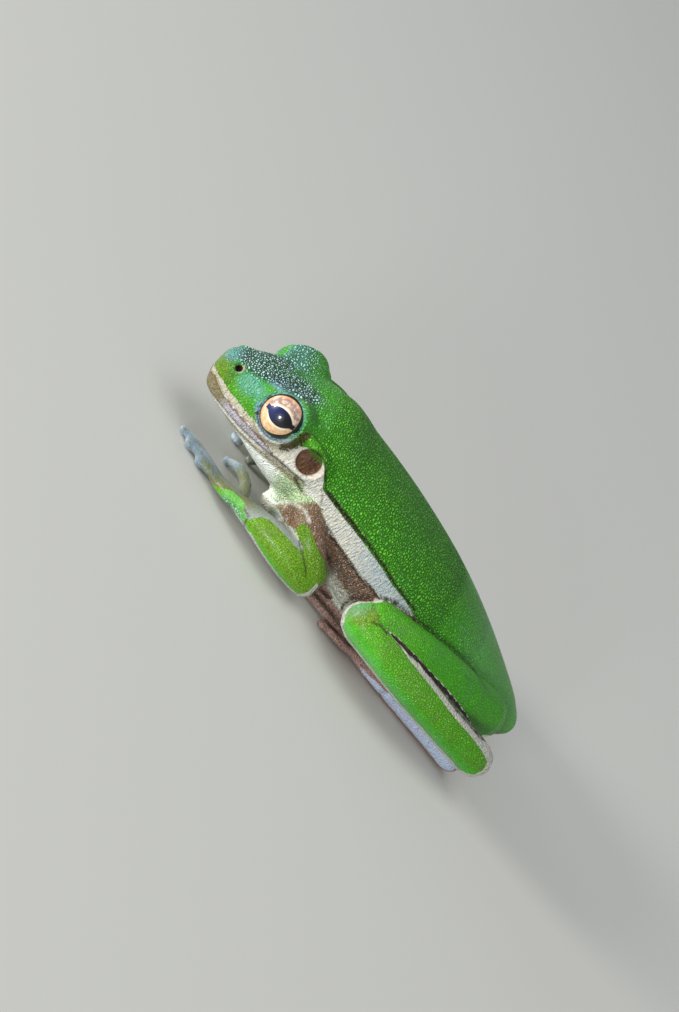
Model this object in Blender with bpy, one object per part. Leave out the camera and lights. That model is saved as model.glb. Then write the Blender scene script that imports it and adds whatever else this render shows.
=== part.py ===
"""Green tree frog, life size, crouched with its legs folded under it.

The frog faces -Y, its left side is towards +X and it rests on z = 0. Sizes are in millimetres and
become metres at the end, when the frog is centred on the origin.
"""
import math

import bmesh
import bpy
from mathutils import Matrix, Vector

MM = 0.001
UP = Vector((0.0, 0.0, 1.0))
GAP = 0.3
FLOOR = 0.0

HEAD_PITCH = math.radians(14.0)
MOUTH_CORNER_Y = -13.8
MOUTH_CORNER_Z = 8.4
NECK = -2.5
SNOUT = 13.95
SNOUT_RISE = 1.2
CHIN = 13.15
LIP_OVERHANG = 0.2
# The mouth opening falls towards the snout by this share, from this place ahead of the corner.
MOUTH_FALL = 0.06
MOUTH_FALL_START = 1.5

TRUNK_SIDES = 32
TRUNK_STEPS = 2
LIMB_SIDES = 16
LIMB_STEPS = 2
FINGER_SIDES = 8

# Head sections: distance ahead of the mouth corner, half width, height above and depth below the
# mouth line.
HEAD_SECTIONS = (
    (13.6, 2.1, 2.9, 0.5),
    (12.9, 3.3, 3.6, 1.0),
    (11.4, 4.4, 4.2, 1.35),
    (9.2, 5.8, 4.95, 1.75),
    (7.0, 6.8, 5.45, 2.45),
    (4.8, 7.5, 5.85, 3.45),
    (2.4, 8.05, 6.15, 4.4),
    (0.0, 8.5, 6.1, 5.1),
    (NECK, 8.8, 5.9, 5.5),
)
# Torso sections: y, z of the widest level, lean in degrees, half width, height above, depth below.
TORSO_SECTIONS = (
    (-8.9, 8.5, 9.0, 9.1, 5.85, 5.9),
    (-5.5, 8.0, 5.0, 9.6, 6.1, 6.2),
    (-1.5, 7.5, 2.0, 9.9, 6.25, 6.3),
    (3.0, 7.0, 0.0, 9.9, 6.2, 6.4),
    (7.5, 6.5, 0.0, 9.3, 6.1, 6.5),
    (12.0, 6.0, 0.0, 8.2, 5.7, 6.1),
    (16.5, 5.7, 0.0, 6.8, 4.75, 5.7),
    (20.5, 5.6, 0.0, 5.3, 3.5, 4.6),
    (24.0, 5.6, 0.0, 3.5, 2.2, 3.0),
    (26.0, 5.7, 0.0, 1.7, 0.9, 1.2),
)
VENT = (26.5, 5.8)
TORSO_SQUARENESS = 2.3
HEAD_SQUARENESS = 3.0
CHEEK_HOLLOW = 0.09

EYE_AHEAD = 5.4
EYE_RISE = 3.65
EYE_SIDE = 5.69
EYE_GAZE = Vector((0.93, -0.28, 0.22)).normalized()
EYE_RADIUS = 2.55
EYE_OPENING = 2.3
EYE_DEPTH = 1.2
EYE_DOME_STEPS = 5
EYE_TURN_STEPS = 24
EYE_BULGE = (3.1, 3.7, 2.95)
EYE_BULGE_INWARD = 0.5
EYE_BULGE_BACK = 0.25
HEAD_TAPER = math.radians(20.0)
LID_THICKNESS = 0.42
LID_AHEAD = 0.9
LID_STEPS = 24
LID_SIDES = 6

EAR_AHEAD = 0.3
EAR_RISE = 2.1
EAR_SIDE = 7.75
EAR_AXIS = Vector((0.96, 0.05, 0.27)).normalized()
EAR_RADIUS = 1.4
EAR_THICKNESS = 0.7
EAR_DOME = 0.4
# The skin fold from the eye over the eardrum: half width, and places outward, ahead and up.
EAR_FOLD = 0.6
EAR_FOLD_PATH = ((7.0, 2.9, 4.1), (7.4, 0.9, 3.9), (7.75, -0.9, 3.4), (8.1, -1.6, 2.2))

NOSTRIL_AHEAD = 11.9
NOSTRIL_RISE = 3.45
NOSTRIL_SIDE = 2.4
NOSTRIL_BUMP = 0.85
NOSTRIL_PIT = 0.36
CUTTER_REACH = 6.0

# Limb stations: x outward, y, z, half width, half height. The arms lie differently.
LEFT_ARM = (
    (7.4, -11.4, 7.3, 1.8, 2.0),
    (9.1, -9.3, 6.3, 1.7, 1.85),
    (10.5, -7.0, 5.1, 1.6, 1.7),
    (11.3, -4.9, 4.0, 1.5, 1.5),
)
LEFT_FOREARM = (
    (11.65, -5.0, 2.7, 1.75, 1.8),
    (11.6, -7.4, 3.0, 2.15, 2.15),
    (11.2, -10.4, 2.9, 2.05, 2.0),
    (10.7, -13.2, 2.55, 1.6, 1.5),
    (10.1, -15.2, 2.15, 1.2, 1.15),
)
LEFT_PALM = (
    (9.9, -15.7, 1.95, 1.15, 1.05),
    (8.9, -17.1, 1.3, 1.35, 0.95),
    (8.0, -18.5, 0.85, 1.15, 0.75),
)
RIGHT_ARM = (
    (7.4, -10.8, 7.4, 1.8, 2.1),
    (9.1, -8.4, 6.3, 1.75, 1.9),
    (10.4, -5.9, 5.0, 1.6, 1.75),
    (11.1, -3.7, 3.9, 1.5, 1.5),
)
RIGHT_FOREARM = (
    (11.5, -3.8, 2.7, 1.75, 1.8),
    (11.3, -6.2, 3.0, 2.15, 2.15),
    (10.7, -9.2, 2.9, 2.05, 2.0),
    (9.9, -11.8, 2.5, 1.6, 1.5),
    (9.1, -13.6, 2.1, 1.2, 1.15),
)
RIGHT_PALM = (
    (8.9, -14.1, 1.9, 1.15, 1.05),
    (7.9, -15.4, 1.3, 1.35, 0.95),
    (7.0, -16.5, 0.85, 1.15, 0.75),
)
# Finger joints x, y, z from the palm to the middle of the pad.
LEFT_FINGERS = (
    ((8.8, -15.6, 1.8), (6.2, -16.0, 2.3), (3.7, -17.3, 1.9), (1.7, -18.0, 0.45)),
    ((7.6, -18.2, 0.9), (6.7, -20.8, 1.0), (6.0, -22.9, 0.9), (5.3, -24.5, 0.45)),
    ((8.1, -18.4, 0.9), (7.5, -20.6, 1.0), (7.1, -22.1, 0.9), (6.7, -23.3, 0.45)),
    ((8.5, -18.0, 0.9), (8.5, -19.3, 0.95), (8.2, -20.4, 0.85), (7.7, -21.3, 0.45)),
)
RIGHT_FINGERS = (
    ((7.9, -14.2, 1.6), (5.6, -13.8, 1.5), (4.0, -14.3, 1.1), (3.0, -15.4, 0.45)),
    ((6.9, -16.0, 0.9), (5.9, -16.8, 1.0), (5.0, -17.3, 0.9), (4.2, -17.9, 0.45)),
    ((7.0, -16.6, 0.9), (7.0, -17.8, 1.0), (7.1, -18.9, 0.9), (7.2, -19.9, 0.45)),
    ((7.6, -16.3, 0.9), (8.4, -17.2, 0.95), (9.0, -18.1, 0.85), (9.5, -18.9, 0.45)),
)
ARMS = {
    1: (LEFT_ARM, LEFT_FOREARM, LEFT_PALM, LEFT_FINGERS),
    -1: (RIGHT_ARM, RIGHT_FOREARM, RIGHT_PALM, RIGHT_FINGERS),
}
FINGER_RADIUS = 0.46
FINGER_PAD = (0.66, 0.72, 0.45)
# Share of the finger radius for each joint: a stout first finger and three slim ones.
FINGER_SHAPES = (
    (1.9, 1.55, 1.2, 0.9), (1.2, 1.05, 1.0, 0.85), (1.2, 1.05, 1.0, 0.85), (1.15, 1.0, 0.95, 0.8))
TOE_SHAPES = ((1.15, 1.0, 0.95, 0.8),) * 5
# Share of the pad's size for each finger; one of the right hand is pressed wide.
FINGER_PAD_SHARES = {1: (1.0, 1.0, 1.0, 1.0), -1: (1.0, 1.45, 1.0, 1.0)}
TOE_PAD_SHARES = (1.0,) * 5

THIGH = (
    (4.6, 21.0, 5.8, 3.0, 3.1),
    (7.9, 16.6, 6.4, 3.1, 3.2),
    (10.1, 11.6, 6.9, 2.9, 3.0),
    (11.7, 7.0, 7.0, 2.6, 2.7),
    (12.1, 3.2, 6.9, 2.2, 2.2),
)
SHANK = (
    (12.6, 2.3, 5.3, 2.3, 2.5),
    (13.2, 6.6, 5.4, 2.6, 2.4),
    (13.5, 11.4, 5.35, 2.6, 2.3),
    (12.9, 16.8, 5.2, 2.45, 2.25),
    (11.7, 22.5, 4.8, 2.2, 2.25),
)
TARSUS = (
    (9.9, 22.0, 1.75, 1.3, 1.5),
    (9.6, 18.4, 1.5, 1.35, 1.35),
    (9.4, 15.0, 1.35, 1.4, 1.3),
    (9.3, 11.6, 1.2, 1.5, 1.2),
)
FOOT = (
    (9.4, 10.9, 1.15, 1.5, 1.1),
    (9.0, 8.4, 0.9, 1.8, 0.85),
    (8.4, 6.2, 0.75, 1.9, 0.7),
)
# The right leg is drawn in and pressed lower than the left.
RIGHT_LEG_SHIFT = (-1.2, -1.0, -1.0)
TOES = (
    ((8.0, 8.0, 0.9), (5.6, 5.6, 0.75), (4.6, 3.6, 0.65), (4.4, 2.4, 0.45)),
    ((8.0, 7.0, 0.9), (5.8, 3.6, 0.75), (4.6, 1.2, 0.65), (4.0, -0.4, 0.45)),
    ((8.4, 6.6, 0.9), (7.0, 2.8, 0.75), (6.2, 0.2, 0.65), (5.9, -1.6, 0.45)),
    ((8.8, 6.6, 0.9), (8.6, 2.6, 0.75), (8.2, -0.2, 0.65), (7.9, -2.0, 0.45)),
    ((9.2, 7.0, 0.9), (10.2, 4.2, 0.75), (10.3, 2.4, 0.65), (10.1, 0.9, 0.45)),
)
TOE_RADIUS = 0.48
TOE_PAD = (0.7, 0.78, 0.45)
WEB_THICKNESS = 0.55
WEB_HEIGHT = 0.75
WEB_REACH = 0.62
WEB_NOTCH = 0.28
WEB_COLUMNS = 5

# Colour, roughness of each kind of surface.
SKIN_GREEN = ((0.16, 0.42, 0.07), 0.55)
THROAT_CREAM = ((0.75, 0.75, 0.6), 0.55)
EYE_GOLD = ((0.6, 0.4, 0.25), 0.15)
EAR_BROWN = ((0.3, 0.2, 0.1), 0.5)
FOOT_GREY = ((0.45, 0.42, 0.38), 0.55)


def spline(stations, turn):
    """Reads a smooth curve through the stations at a whole or part number of steps along it."""
    last = len(stations) - 1
    here = min(int(turn), last - 1)
    part = turn - here
    before, start, end, after = (
        stations[max(here - 1, 0)], stations[here], stations[here + 1], stations[min(here + 2, last)])
    return tuple(
        0.5 * (2 * b + (c - a) * part + (2 * a - 5 * b + 4 * c - d) * part ** 2
               + (3 * b - a - 3 * c + d) * part ** 3)
        for a, b, c, d in zip(before, start, end, after))


def smooth_rows(stations, steps):
    """Fills in rows between the stations along their smooth curve."""
    count = (len(stations) - 1) * steps
    return [spline(stations, step / steps) for step in range(count + 1)]


def head_point(side, ahead, rise):
    """Turns a place on the head, given along and above the mouth line, into x, y, z."""
    return Vector((
        side,
        MOUTH_CORNER_Y - ahead * math.cos(HEAD_PITCH) - rise * math.sin(HEAD_PITCH),
        MOUTH_CORNER_Z - ahead * math.sin(HEAD_PITCH) + rise * math.cos(HEAD_PITCH)))


def head_direction(ahead, rise):
    """A direction given along and above the mouth line."""
    return head_point(0.0, ahead, rise) - head_point(0.0, 0.0, 0.0)


def mirrored(point, side):
    """The same point on the left (1) or right (-1) side."""
    return Vector((point[0] * side, point[1], point[2]))


def new_object(name, mesh_builder):
    """Makes an object of a bmesh, with its faces pointing out."""
    bmesh.ops.recalc_face_normals(mesh_builder, faces=mesh_builder.faces)
    mesh = bpy.data.meshes.new(name)
    mesh_builder.to_mesh(mesh)
    mesh_builder.free()
    made = bpy.data.objects.new(name, mesh)
    bpy.context.scene.collection.objects.link(made)
    return made


def loft(name, rings, tips):
    """A closed skin over rings of equal count, drawn to a point at each end."""
    builder = bmesh.new()
    rows = [[builder.verts.new(point) for point in ring] for ring in rings]
    count = len(rows[0])
    for lower, upper in zip(rows, rows[1:]):
        for index in range(count):
            after = (index + 1) % count
            builder.faces.new((lower[index], lower[after], upper[after], upper[index]))
    for row, tip in ((rows[0], tips[0]), (rows[-1], tips[1])):
        point = builder.verts.new(tip)
        for index in range(count):
            builder.faces.new((row[index], row[(index + 1) % count], point))
    return new_object(name, builder)


def limb(name, stations, side=1, grow=0.0, sides=LIMB_SIDES, steps=LIMB_STEPS):
    """A tube of changing oval section with round ends."""
    rows = smooth_rows(stations, steps)
    centres = [mirrored(row[:3], side) for row in rows]
    rings = []
    last = len(rows) - 1
    for index, row in enumerate(rows):
        ahead = (centres[min(index + 1, last)] - centres[max(index - 1, 0)]).normalized()
        across = ahead.cross(UP).normalized()
        above = across.cross(ahead)
        wide, high = row[3] + grow, row[4] + grow
        ends = {0: -1.0, last: 1.0}
        slices = [(0.0, 1.0)]
        if index in ends:
            bend = [math.radians(angle) for angle in (0, 35, 65)]
            slices = [(ends[index] * math.sin(turn), math.cos(turn)) for turn in bend]
            if index == 0:
                slices.reverse()
        for shift, share in slices:
            middle = centres[index] + ahead * shift * 0.5 * (wide + high)
            rings.append([
                middle + across * wide * share * math.cos(turn) + above * high * share * math.sin(turn)
                for turn in (2 * math.pi * step / sides for step in range(sides))])
        if index == 0:
            first_tip = centres[0] - ahead * 0.5 * (wide + high)
        if index == last:
            last_tip = centres[last] + ahead * 0.5 * (wide + high)
    return loft(name, rings, (first_tip, last_tip))


def ball(name, centre, radii, turn=None, segments=16, rings=10):
    """An ellipsoid, turned by a matrix if one is given."""
    builder = bmesh.new()
    place = Matrix.Translation(centre) @ (turn or Matrix.Identity(4)) @ Matrix.Diagonal((*radii, 1.0))
    bmesh.ops.create_uvsphere(builder, u_segments=segments, v_segments=rings, radius=1.0, matrix=place)
    return new_object(name, builder)


def aimed(axis):
    """The turn that brings +Z onto an axis."""
    return Vector(axis).to_track_quat("Z", "Y").to_matrix().to_4x4()


def drum(name, start, axis, radius, length, segments=20):
    """A cylinder that runs from a start point along an axis."""
    builder = bmesh.new()
    middle = Vector(start) + Vector(axis) * length * 0.5
    bmesh.ops.create_cone(
        builder, cap_ends=True, segments=segments, radius1=radius, radius2=radius, depth=length,
        matrix=Matrix.Translation(middle) @ aimed(axis))
    return new_object(name, builder)


def boolean(target, tools, operation):
    """Joins the tools to the target or cuts them from it, and removes them."""
    group = bpy.data.collections.new("tools")
    bpy.context.scene.collection.children.link(group)
    for tool in tools:
        group.objects.link(tool)
    change = target.modifiers.new("change", "BOOLEAN")
    change.operation = operation
    change.operand_type = "COLLECTION"
    change.collection = group
    change.solver = "EXACT"
    bpy.context.view_layer.update()
    graph = bpy.context.evaluated_depsgraph_get()
    mesh = bpy.data.meshes.new_from_object(target.evaluated_get(graph))
    target.modifiers.clear()
    target.data = mesh
    for tool in tools:
        bpy.data.objects.remove(tool)
    bpy.data.collections.remove(group)
    keep_largest(target)
    return target


def join(target, tools):
    """Fuses the tools into the target."""
    return boolean(target, tools, "UNION")


def cut(target, tools):
    """Cuts the tools out of the target."""
    return boolean(target, tools, "DIFFERENCE")


def keep_largest(target):
    """Drops every closed surface of an object but the largest."""
    builder = bmesh.new()
    builder.from_mesh(target.data)
    left = set(builder.faces)
    islands = []
    while left:
        island = {left.pop()}
        queue = list(island)
        while queue:
            face = queue.pop()
            for edge in face.edges:
                for other in edge.link_faces:
                    if other in left:
                        left.discard(other)
                        island.add(other)
                        queue.append(other)
        islands.append(island)
    islands.sort(key=lambda faces: sum(face.calc_area() for face in faces))
    drop = [face for island in islands[:-1] for face in island]
    bmesh.ops.delete(builder, geom=drop, context="FACES")
    loose = [vert for vert in builder.verts if not vert.link_faces]
    bmesh.ops.delete(builder, geom=loose, context="VERTS")
    builder.to_mesh(target.data)
    builder.free()


def slice_off(target, point, outward):
    """Cuts away what lies beyond a plane and closes the cut with a flat face."""
    builder = bmesh.new()
    builder.from_mesh(target.data)
    bmesh.ops.bisect_plane(
        builder, geom=[*builder.verts, *builder.edges, *builder.faces], dist=1e-4,
        plane_co=point, plane_no=outward, clear_outer=True)
    bmesh.ops.holes_fill(builder, edges=[edge for edge in builder.edges if edge.is_boundary], sides=0)
    bmesh.ops.recalc_face_normals(builder, faces=builder.faces)
    builder.to_mesh(target.data)
    builder.free()
    return target


def on_floor(target):
    """Flattens the underside of a piece where it stands on the floor."""
    return slice_off(target, (0.0, 0.0, FLOOR), -UP)


def trunk_ring(centre, lean, wide, above, below, squareness, hollow):
    """One section of the body: a rounded box, pinched above the mouth line by the cheek hollow."""
    ring = []
    for step in range(TRUNK_SIDES):
        turn = 2 * math.pi * step / TRUNK_SIDES
        across = math.copysign(abs(math.cos(turn)) ** (2 / squareness), math.cos(turn))
        rise = math.copysign(abs(math.sin(turn)) ** (2 / squareness), math.sin(turn))
        if rise > 0:
            across -= math.copysign(hollow * math.sin(math.pi * rise), across)
        height = rise * (above if rise > 0 else below)
        ring.append(Vector((
            across * wide,
            centre[0] - height * math.sin(lean),
            centre[1] + height * math.cos(lean))))
    return ring


def trunk(name, grow=0.0, lips=0.0):
    """The whole body without limbs, from the snout to the vent."""
    stations = []
    for ahead, wide, above, below in HEAD_SECTIONS:
        place = head_point(0.0, ahead, 0.0)
        snout_share = max(0.0, min(1.0, (ahead - NECK) / (HEAD_SECTIONS[3][0] - NECK)))
        squareness = TORSO_SQUARENESS + (HEAD_SQUARENESS - TORSO_SQUARENESS) * snout_share
        stations.append((place.y, place.z, HEAD_PITCH, wide - lips, above, below, squareness,
                         CHEEK_HOLLOW * snout_share))
    for y, z, lean, wide, above, below in TORSO_SECTIONS:
        stations.append((y, z, math.radians(lean), wide, above, below, TORSO_SQUARENESS, 0.0))
    rings = [
        trunk_ring(row[:2], row[2], row[3] + grow, row[4] + grow, row[5] + grow, row[6], row[7])
        for row in smooth_rows(stations, TRUNK_STEPS)]
    nose = head_point(0.0, SNOUT + grow, SNOUT_RISE)
    return loft(name, rings, (nose, Vector((0.0, VENT[0] + grow, VENT[1]))))


def mouth_plane(share):
    """A point of the cut between the lips, on its upper (1) or lower (-1) face."""
    return head_point(0.0, MOUTH_FALL_START, share * GAP / 2)


def neck_plane(share):
    """A point of the cut behind the head, on its front (1) or back (-1) face."""
    return head_point(0.0, NECK + share * GAP / 2, 0.0)


def make_torso():
    """The torso, from the neck to the vent, flat where its belly rests."""
    torso = trunk("torso")
    slice_off(torso, neck_plane(-1), head_direction(1.0, 0.0))
    return on_floor(torso)


def eye_centre(side):
    """The middle of an eyeball."""
    return head_point(EYE_SIDE * side, EYE_AHEAD, EYE_RISE)


def eye_gaze(side):
    """The way an eye looks."""
    return mirrored(EYE_GAZE, side)


def ear_centre(side):
    """The middle of an eardrum's outer face."""
    return head_point(EAR_SIDE * side, EAR_AHEAD, EAR_RISE)


def lid_ring(name, side):
    """The raised rim of both lids round an eye."""
    axis = eye_gaze(side)
    middle = eye_centre(side) + axis * LID_AHEAD
    turn = aimed(axis)
    radius = EYE_OPENING + GAP + LID_THICKNESS * 0.6
    builder = bmesh.new()
    rows = []
    for step in range(LID_STEPS):
        angle = 2 * math.pi * step / LID_STEPS
        spoke = Vector((math.cos(angle), math.sin(angle), 0.0))
        row = []
        for slot in range(LID_SIDES):
            small = 2 * math.pi * slot / LID_SIDES
            local = spoke * (radius + LID_THICKNESS * math.cos(small)) + UP * LID_THICKNESS * math.sin(small)
            row.append(builder.verts.new(turn.to_3x3() @ local + middle))
        rows.append(row)
    for index, row in enumerate(rows):
        after = rows[(index + 1) % len(rows)]
        for slot in range(LID_SIDES):
            next_slot = (slot + 1) % LID_SIDES
            builder.faces.new((row[slot], row[next_slot], after[next_slot], after[slot]))
    return new_object(name, builder)


def make_head():
    """The upper head with its eye bulges, lids, canthus, nostrils, ear folds and ear cups."""
    head = trunk("head")
    slice_off(head, neck_plane(1), head_direction(-1.0, 0.0))
    slice_off(head, mouth_plane(1), head_direction(-MOUTH_FALL, -1.0))
    extras = []
    for side in (1, -1):
        turn = Matrix.Rotation(HEAD_PITCH, 4, "X") @ Matrix.Rotation(-side * HEAD_TAPER, 4, "Z")
        bulge = head_point((EYE_SIDE - EYE_BULGE_INWARD) * side, EYE_AHEAD - EYE_BULGE_BACK, EYE_RISE)
        extras.append(ball(f"bulge{side}", bulge, EYE_BULGE, turn, 20, 12))
        extras.append(lid_ring(f"lid{side}", side))
        extras.append(ball(
            f"nose{side}", head_point(NOSTRIL_SIDE * 0.8 * side, NOSTRIL_AHEAD, NOSTRIL_RISE - 0.35),
            (NOSTRIL_BUMP,) * 3, None, 12, 8))
        fold = [(*head_point(*place), EAR_FOLD, EAR_FOLD) for place in EAR_FOLD_PATH]
        extras.append(limb(f"fold{side}", fold, side, sides=8, steps=2))
    join(head, extras)
    cutters = []
    for side in (1, -1):
        gaze = eye_gaze(side)
        cutters.append(drum(
            f"socket{side}", eye_centre(side) - gaze * (EYE_DEPTH + GAP), gaze, EYE_OPENING + GAP,
            CUTTER_REACH))
        axis = mirrored(EAR_AXIS, side)
        cutters.append(drum(
            f"ear_cup{side}", ear_centre(side) - axis * (EAR_THICKNESS + GAP), axis, EAR_RADIUS + GAP,
            CUTTER_REACH))
        cutters.append(ball(
            f"pit{side}", head_point((NOSTRIL_SIDE + 0.3) * side, NOSTRIL_AHEAD + 0.1, NOSTRIL_RISE + 0.1),
            (NOSTRIL_PIT,) * 3, None, 10, 6))
    return cut(head, cutters)


def make_jaw():
    """The lower jaw and throat, a little narrower than the upper lip."""
    jaw = trunk("jaw", lips=LIP_OVERHANG)
    slice_off(jaw, neck_plane(1), head_direction(-1.0, 0.0))
    slice_off(jaw, mouth_plane(-1), head_direction(MOUTH_FALL, 1.0))
    return slice_off(jaw, head_point(0.0, CHIN, 0.0), head_direction(1.0, 0.0))


def make_eye(name, side):
    """An eyeball's outer part: a dome on a round plug with a flat back."""
    gaze = eye_gaze(side)
    centre = eye_centre(side)
    dome_angle = math.asin(EYE_OPENING / EYE_RADIUS)
    builder = bmesh.new()
    angles = [dome_angle * step / EYE_DOME_STEPS for step in range(EYE_DOME_STEPS + 1)]
    profile = [(EYE_RADIUS * math.sin(angle), EYE_RADIUS * math.cos(angle)) for angle in angles]
    profile.append((EYE_OPENING, -EYE_DEPTH))
    profile.append((0.0, -EYE_DEPTH))
    turn = aimed(gaze).to_3x3()
    verts = [builder.verts.new(turn @ Vector((radius, 0.0, height)) + centre) for radius, height in profile]
    edges = [builder.edges.new(pair) for pair in zip(verts, verts[1:])]
    bmesh.ops.spin(
        builder, geom=verts + edges, cent=centre, axis=gaze, angle=2 * math.pi, steps=EYE_TURN_STEPS,
        use_merge=True)
    bmesh.ops.remove_doubles(builder, verts=builder.verts, dist=1e-3)
    return new_object(name, builder)


def make_eardrum(name, side):
    """A round eardrum, slightly domed, in its cup behind the eye."""
    axis = mirrored(EAR_AXIS, side)
    base = ear_centre(side) - axis * EAR_THICKNESS
    disc = drum(name, base, axis, EAR_RADIUS, EAR_THICKNESS * 0.8)
    dome_radii = (EAR_RADIUS * 0.9, EAR_RADIUS * 0.9, EAR_DOME)
    dome = ball(f"{name}_dome", ear_centre(side) - axis * EAR_DOME * 0.9, dome_radii, aimed(axis), 20, 8)
    return join(disc, [dome])


def digits(name, chains, radius, shapes, pad, pad_shares, side):
    """Slim digits of given shapes that end in flat round pads."""
    made = []
    for number, (chain, shape, pad_share) in enumerate(zip(chains, shapes, pad_shares)):
        stations = [(*joint, radius * share, radius * share) for joint, share in zip(chain, shape)]
        made.append(limb(f"{name}{number}", stations, side, sides=FINGER_SIDES, steps=2))
        way = Vector(chain[-1]) - Vector(chain[-2])
        heading = Matrix.Rotation(math.atan2(way.y, way.x * side) - math.pi / 2, 4, "Z")
        radii = (pad[0] * pad_share, pad[1] * pad_share, pad[2])
        made.append(ball(f"{name}_pad{number}", mirrored(chain[-1], side), radii, heading, 10, 6))
    return made


def webs(name, chains, side):
    """Thin skin between neighbouring toes, cut back in a curve between their ends."""
    made = []
    for number, (near, far) in enumerate(zip(chains, chains[1:])):
        rows = []
        for step in range(WEB_COLUMNS):
            share = step / (WEB_COLUMNS - 1)
            edge_reach = WEB_REACH + WEB_NOTCH * (2 * share - 1) ** 2
            root = Vector(near[0]).lerp(Vector(far[0]), share)
            tip = Vector(near[2]).lerp(Vector(far[2]), share)
            end = root.lerp(tip, edge_reach)
            rows.append([mirrored(root, side), mirrored(end, side)])
        builder = bmesh.new()
        flats = []
        for level in (WEB_HEIGHT - WEB_THICKNESS / 2, WEB_HEIGHT + WEB_THICKNESS / 2):
            flats.append([[builder.verts.new((point.x, point.y, level)) for point in row] for row in rows])
        low, high = flats
        for index in range(WEB_COLUMNS - 1):
            builder.faces.new((low[index][0], low[index][1], low[index + 1][1], low[index + 1][0]))
            builder.faces.new((high[index][0], high[index][1], high[index + 1][1], high[index + 1][0]))
            builder.faces.new((low[index][0], low[index + 1][0], high[index + 1][0], high[index][0]))
            builder.faces.new((low[index][1], low[index + 1][1], high[index + 1][1], high[index][1]))
        builder.faces.new((low[0][0], low[0][1], high[0][1], high[0][0]))
        builder.faces.new((low[-1][0], low[-1][1], high[-1][1], high[-1][0]))
        made.append(new_object(f"{name}{number}", builder))
    return made


def shifted(stations, shift):
    """The stations moved by x, y and z, with their sizes kept."""
    return [(*(value + move for value, move in zip(row, shift)), *row[3:]) for row in stations]


def make_arm(label, side):
    """Upper arm, forearm and hand of one side."""
    arm, forearm, palm, fingers = ARMS[side]
    upper = limb(f"upper_arm_{label}", arm, side)
    cut(upper, [trunk("room", GAP), limb("crook", forearm, side, GAP)])
    fore = limb(f"forearm_{label}", forearm, side)
    hand = limb(f"hand_{label}", palm, side)
    join(hand, digits(
        "finger", fingers, FINGER_RADIUS, FINGER_SHAPES, FINGER_PAD, FINGER_PAD_SHARES[side], side))
    cut(hand, [limb("wrist", forearm, side, GAP)])
    on_floor(hand)
    return [upper, fore, hand]


def make_leg(label, side):
    """Thigh, shank, tarsus and webbed foot of one side."""
    shift = RIGHT_LEG_SHIFT if side < 0 else (0.0, 0.0, 0.0)
    thigh_rows, shank_rows = shifted(THIGH, shift), shifted(SHANK, shift)
    thigh = limb(f"thigh_{label}", thigh_rows, side)
    cut(thigh, [trunk("room", GAP), limb("calf", shank_rows, side, GAP)])
    shank = limb(f"shank_{label}", shank_rows, side)
    cut(shank, [trunk("room", GAP)])
    tarsus = limb(f"tarsus_{label}", TARSUS, side)
    cut(tarsus, [
        limb("heel", shank_rows, side, GAP), limb("ham", thigh_rows, side, GAP), trunk("room", GAP)])
    on_floor(tarsus)
    foot = limb(f"foot_{label}", FOOT, side)
    toes = digits("toe", TOES, TOE_RADIUS, TOE_SHAPES, TOE_PAD, TOE_PAD_SHARES, side)
    join(foot, toes + webs("web", TOES, side))
    cut(foot, [
        limb("ankle", TARSUS, side, GAP), limb("ham", thigh_rows, side, GAP), trunk("room", GAP),
        limb("calf", shank_rows, side, GAP)])
    on_floor(foot)
    return [thigh, shank, tarsus, foot]


def paint(made, colour, roughness):
    """Gives a piece its own material."""
    material = bpy.data.materials.new(f"{made.name}_finish")
    material.use_nodes = True
    shader = material.node_tree.nodes["Principled BSDF"]
    shader.inputs["Base Color"].default_value = (*colour, 1.0)
    shader.inputs["Roughness"].default_value = roughness
    shader.inputs["Metallic"].default_value = 0.0
    made.data.materials.clear()
    made.data.materials.append(material)


def settle(pieces):
    """Makes metres of millimetres and puts the middle of the frog's underside on the origin."""
    corners = [vert.co for made in pieces for vert in made.data.vertices]
    middle_x = 0.5 * (min(co.x for co in corners) + max(co.x for co in corners))
    middle_y = 0.5 * (min(co.y for co in corners) + max(co.y for co in corners))
    place = Matrix.Scale(MM, 4) @ Matrix.Translation((-middle_x, -middle_y, -FLOOR))
    for made in pieces:
        made.data.transform(place)
        made.data.shade_smooth()


def main():
    """Builds the frog."""
    for leftover in list(bpy.data.objects):
        bpy.data.objects.remove(leftover)
    finishes = {}
    for made in (make_torso(), make_head()):
        finishes[made] = SKIN_GREEN
    finishes[make_jaw()] = THROAT_CREAM
    for label, side in (("left", 1), ("right", -1)):
        finishes[make_eye(f"eye_{label}", side)] = EYE_GOLD
        finishes[make_eardrum(f"tympanum_{label}", side)] = EAR_BROWN
        *arm, hand = make_arm(label, side)
        *leg, foot = make_leg(label, side)
        finishes.update({made: SKIN_GREEN for made in arm + leg})
        finishes.update({made: FOOT_GREY for made in (hand, foot)})
    frog = bpy.data.collections.new("green_tree_frog")
    bpy.context.scene.collection.children.link(frog)
    root = bpy.data.objects.new("green_tree_frog_root", None)
    frog.objects.link(root)
    for made, (colour, roughness) in finishes.items():
        paint(made, colour, roughness)
        bpy.context.scene.collection.objects.unlink(made)
        frog.objects.link(made)
        made.parent = root
    settle(list(finishes))


main()
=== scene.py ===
"""Green tree frog, crouched: one seamless skin, two eyes, a pale floor and soft light."""

import logging
import math
from dataclasses import dataclass, field
from enum import Enum
from typing import Callable, Dict, List, Sequence, Tuple

import bmesh
import bpy
import numpy as np
from mathutils import Matrix, Vector
from mathutils.bvhtree import BVHTree


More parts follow.
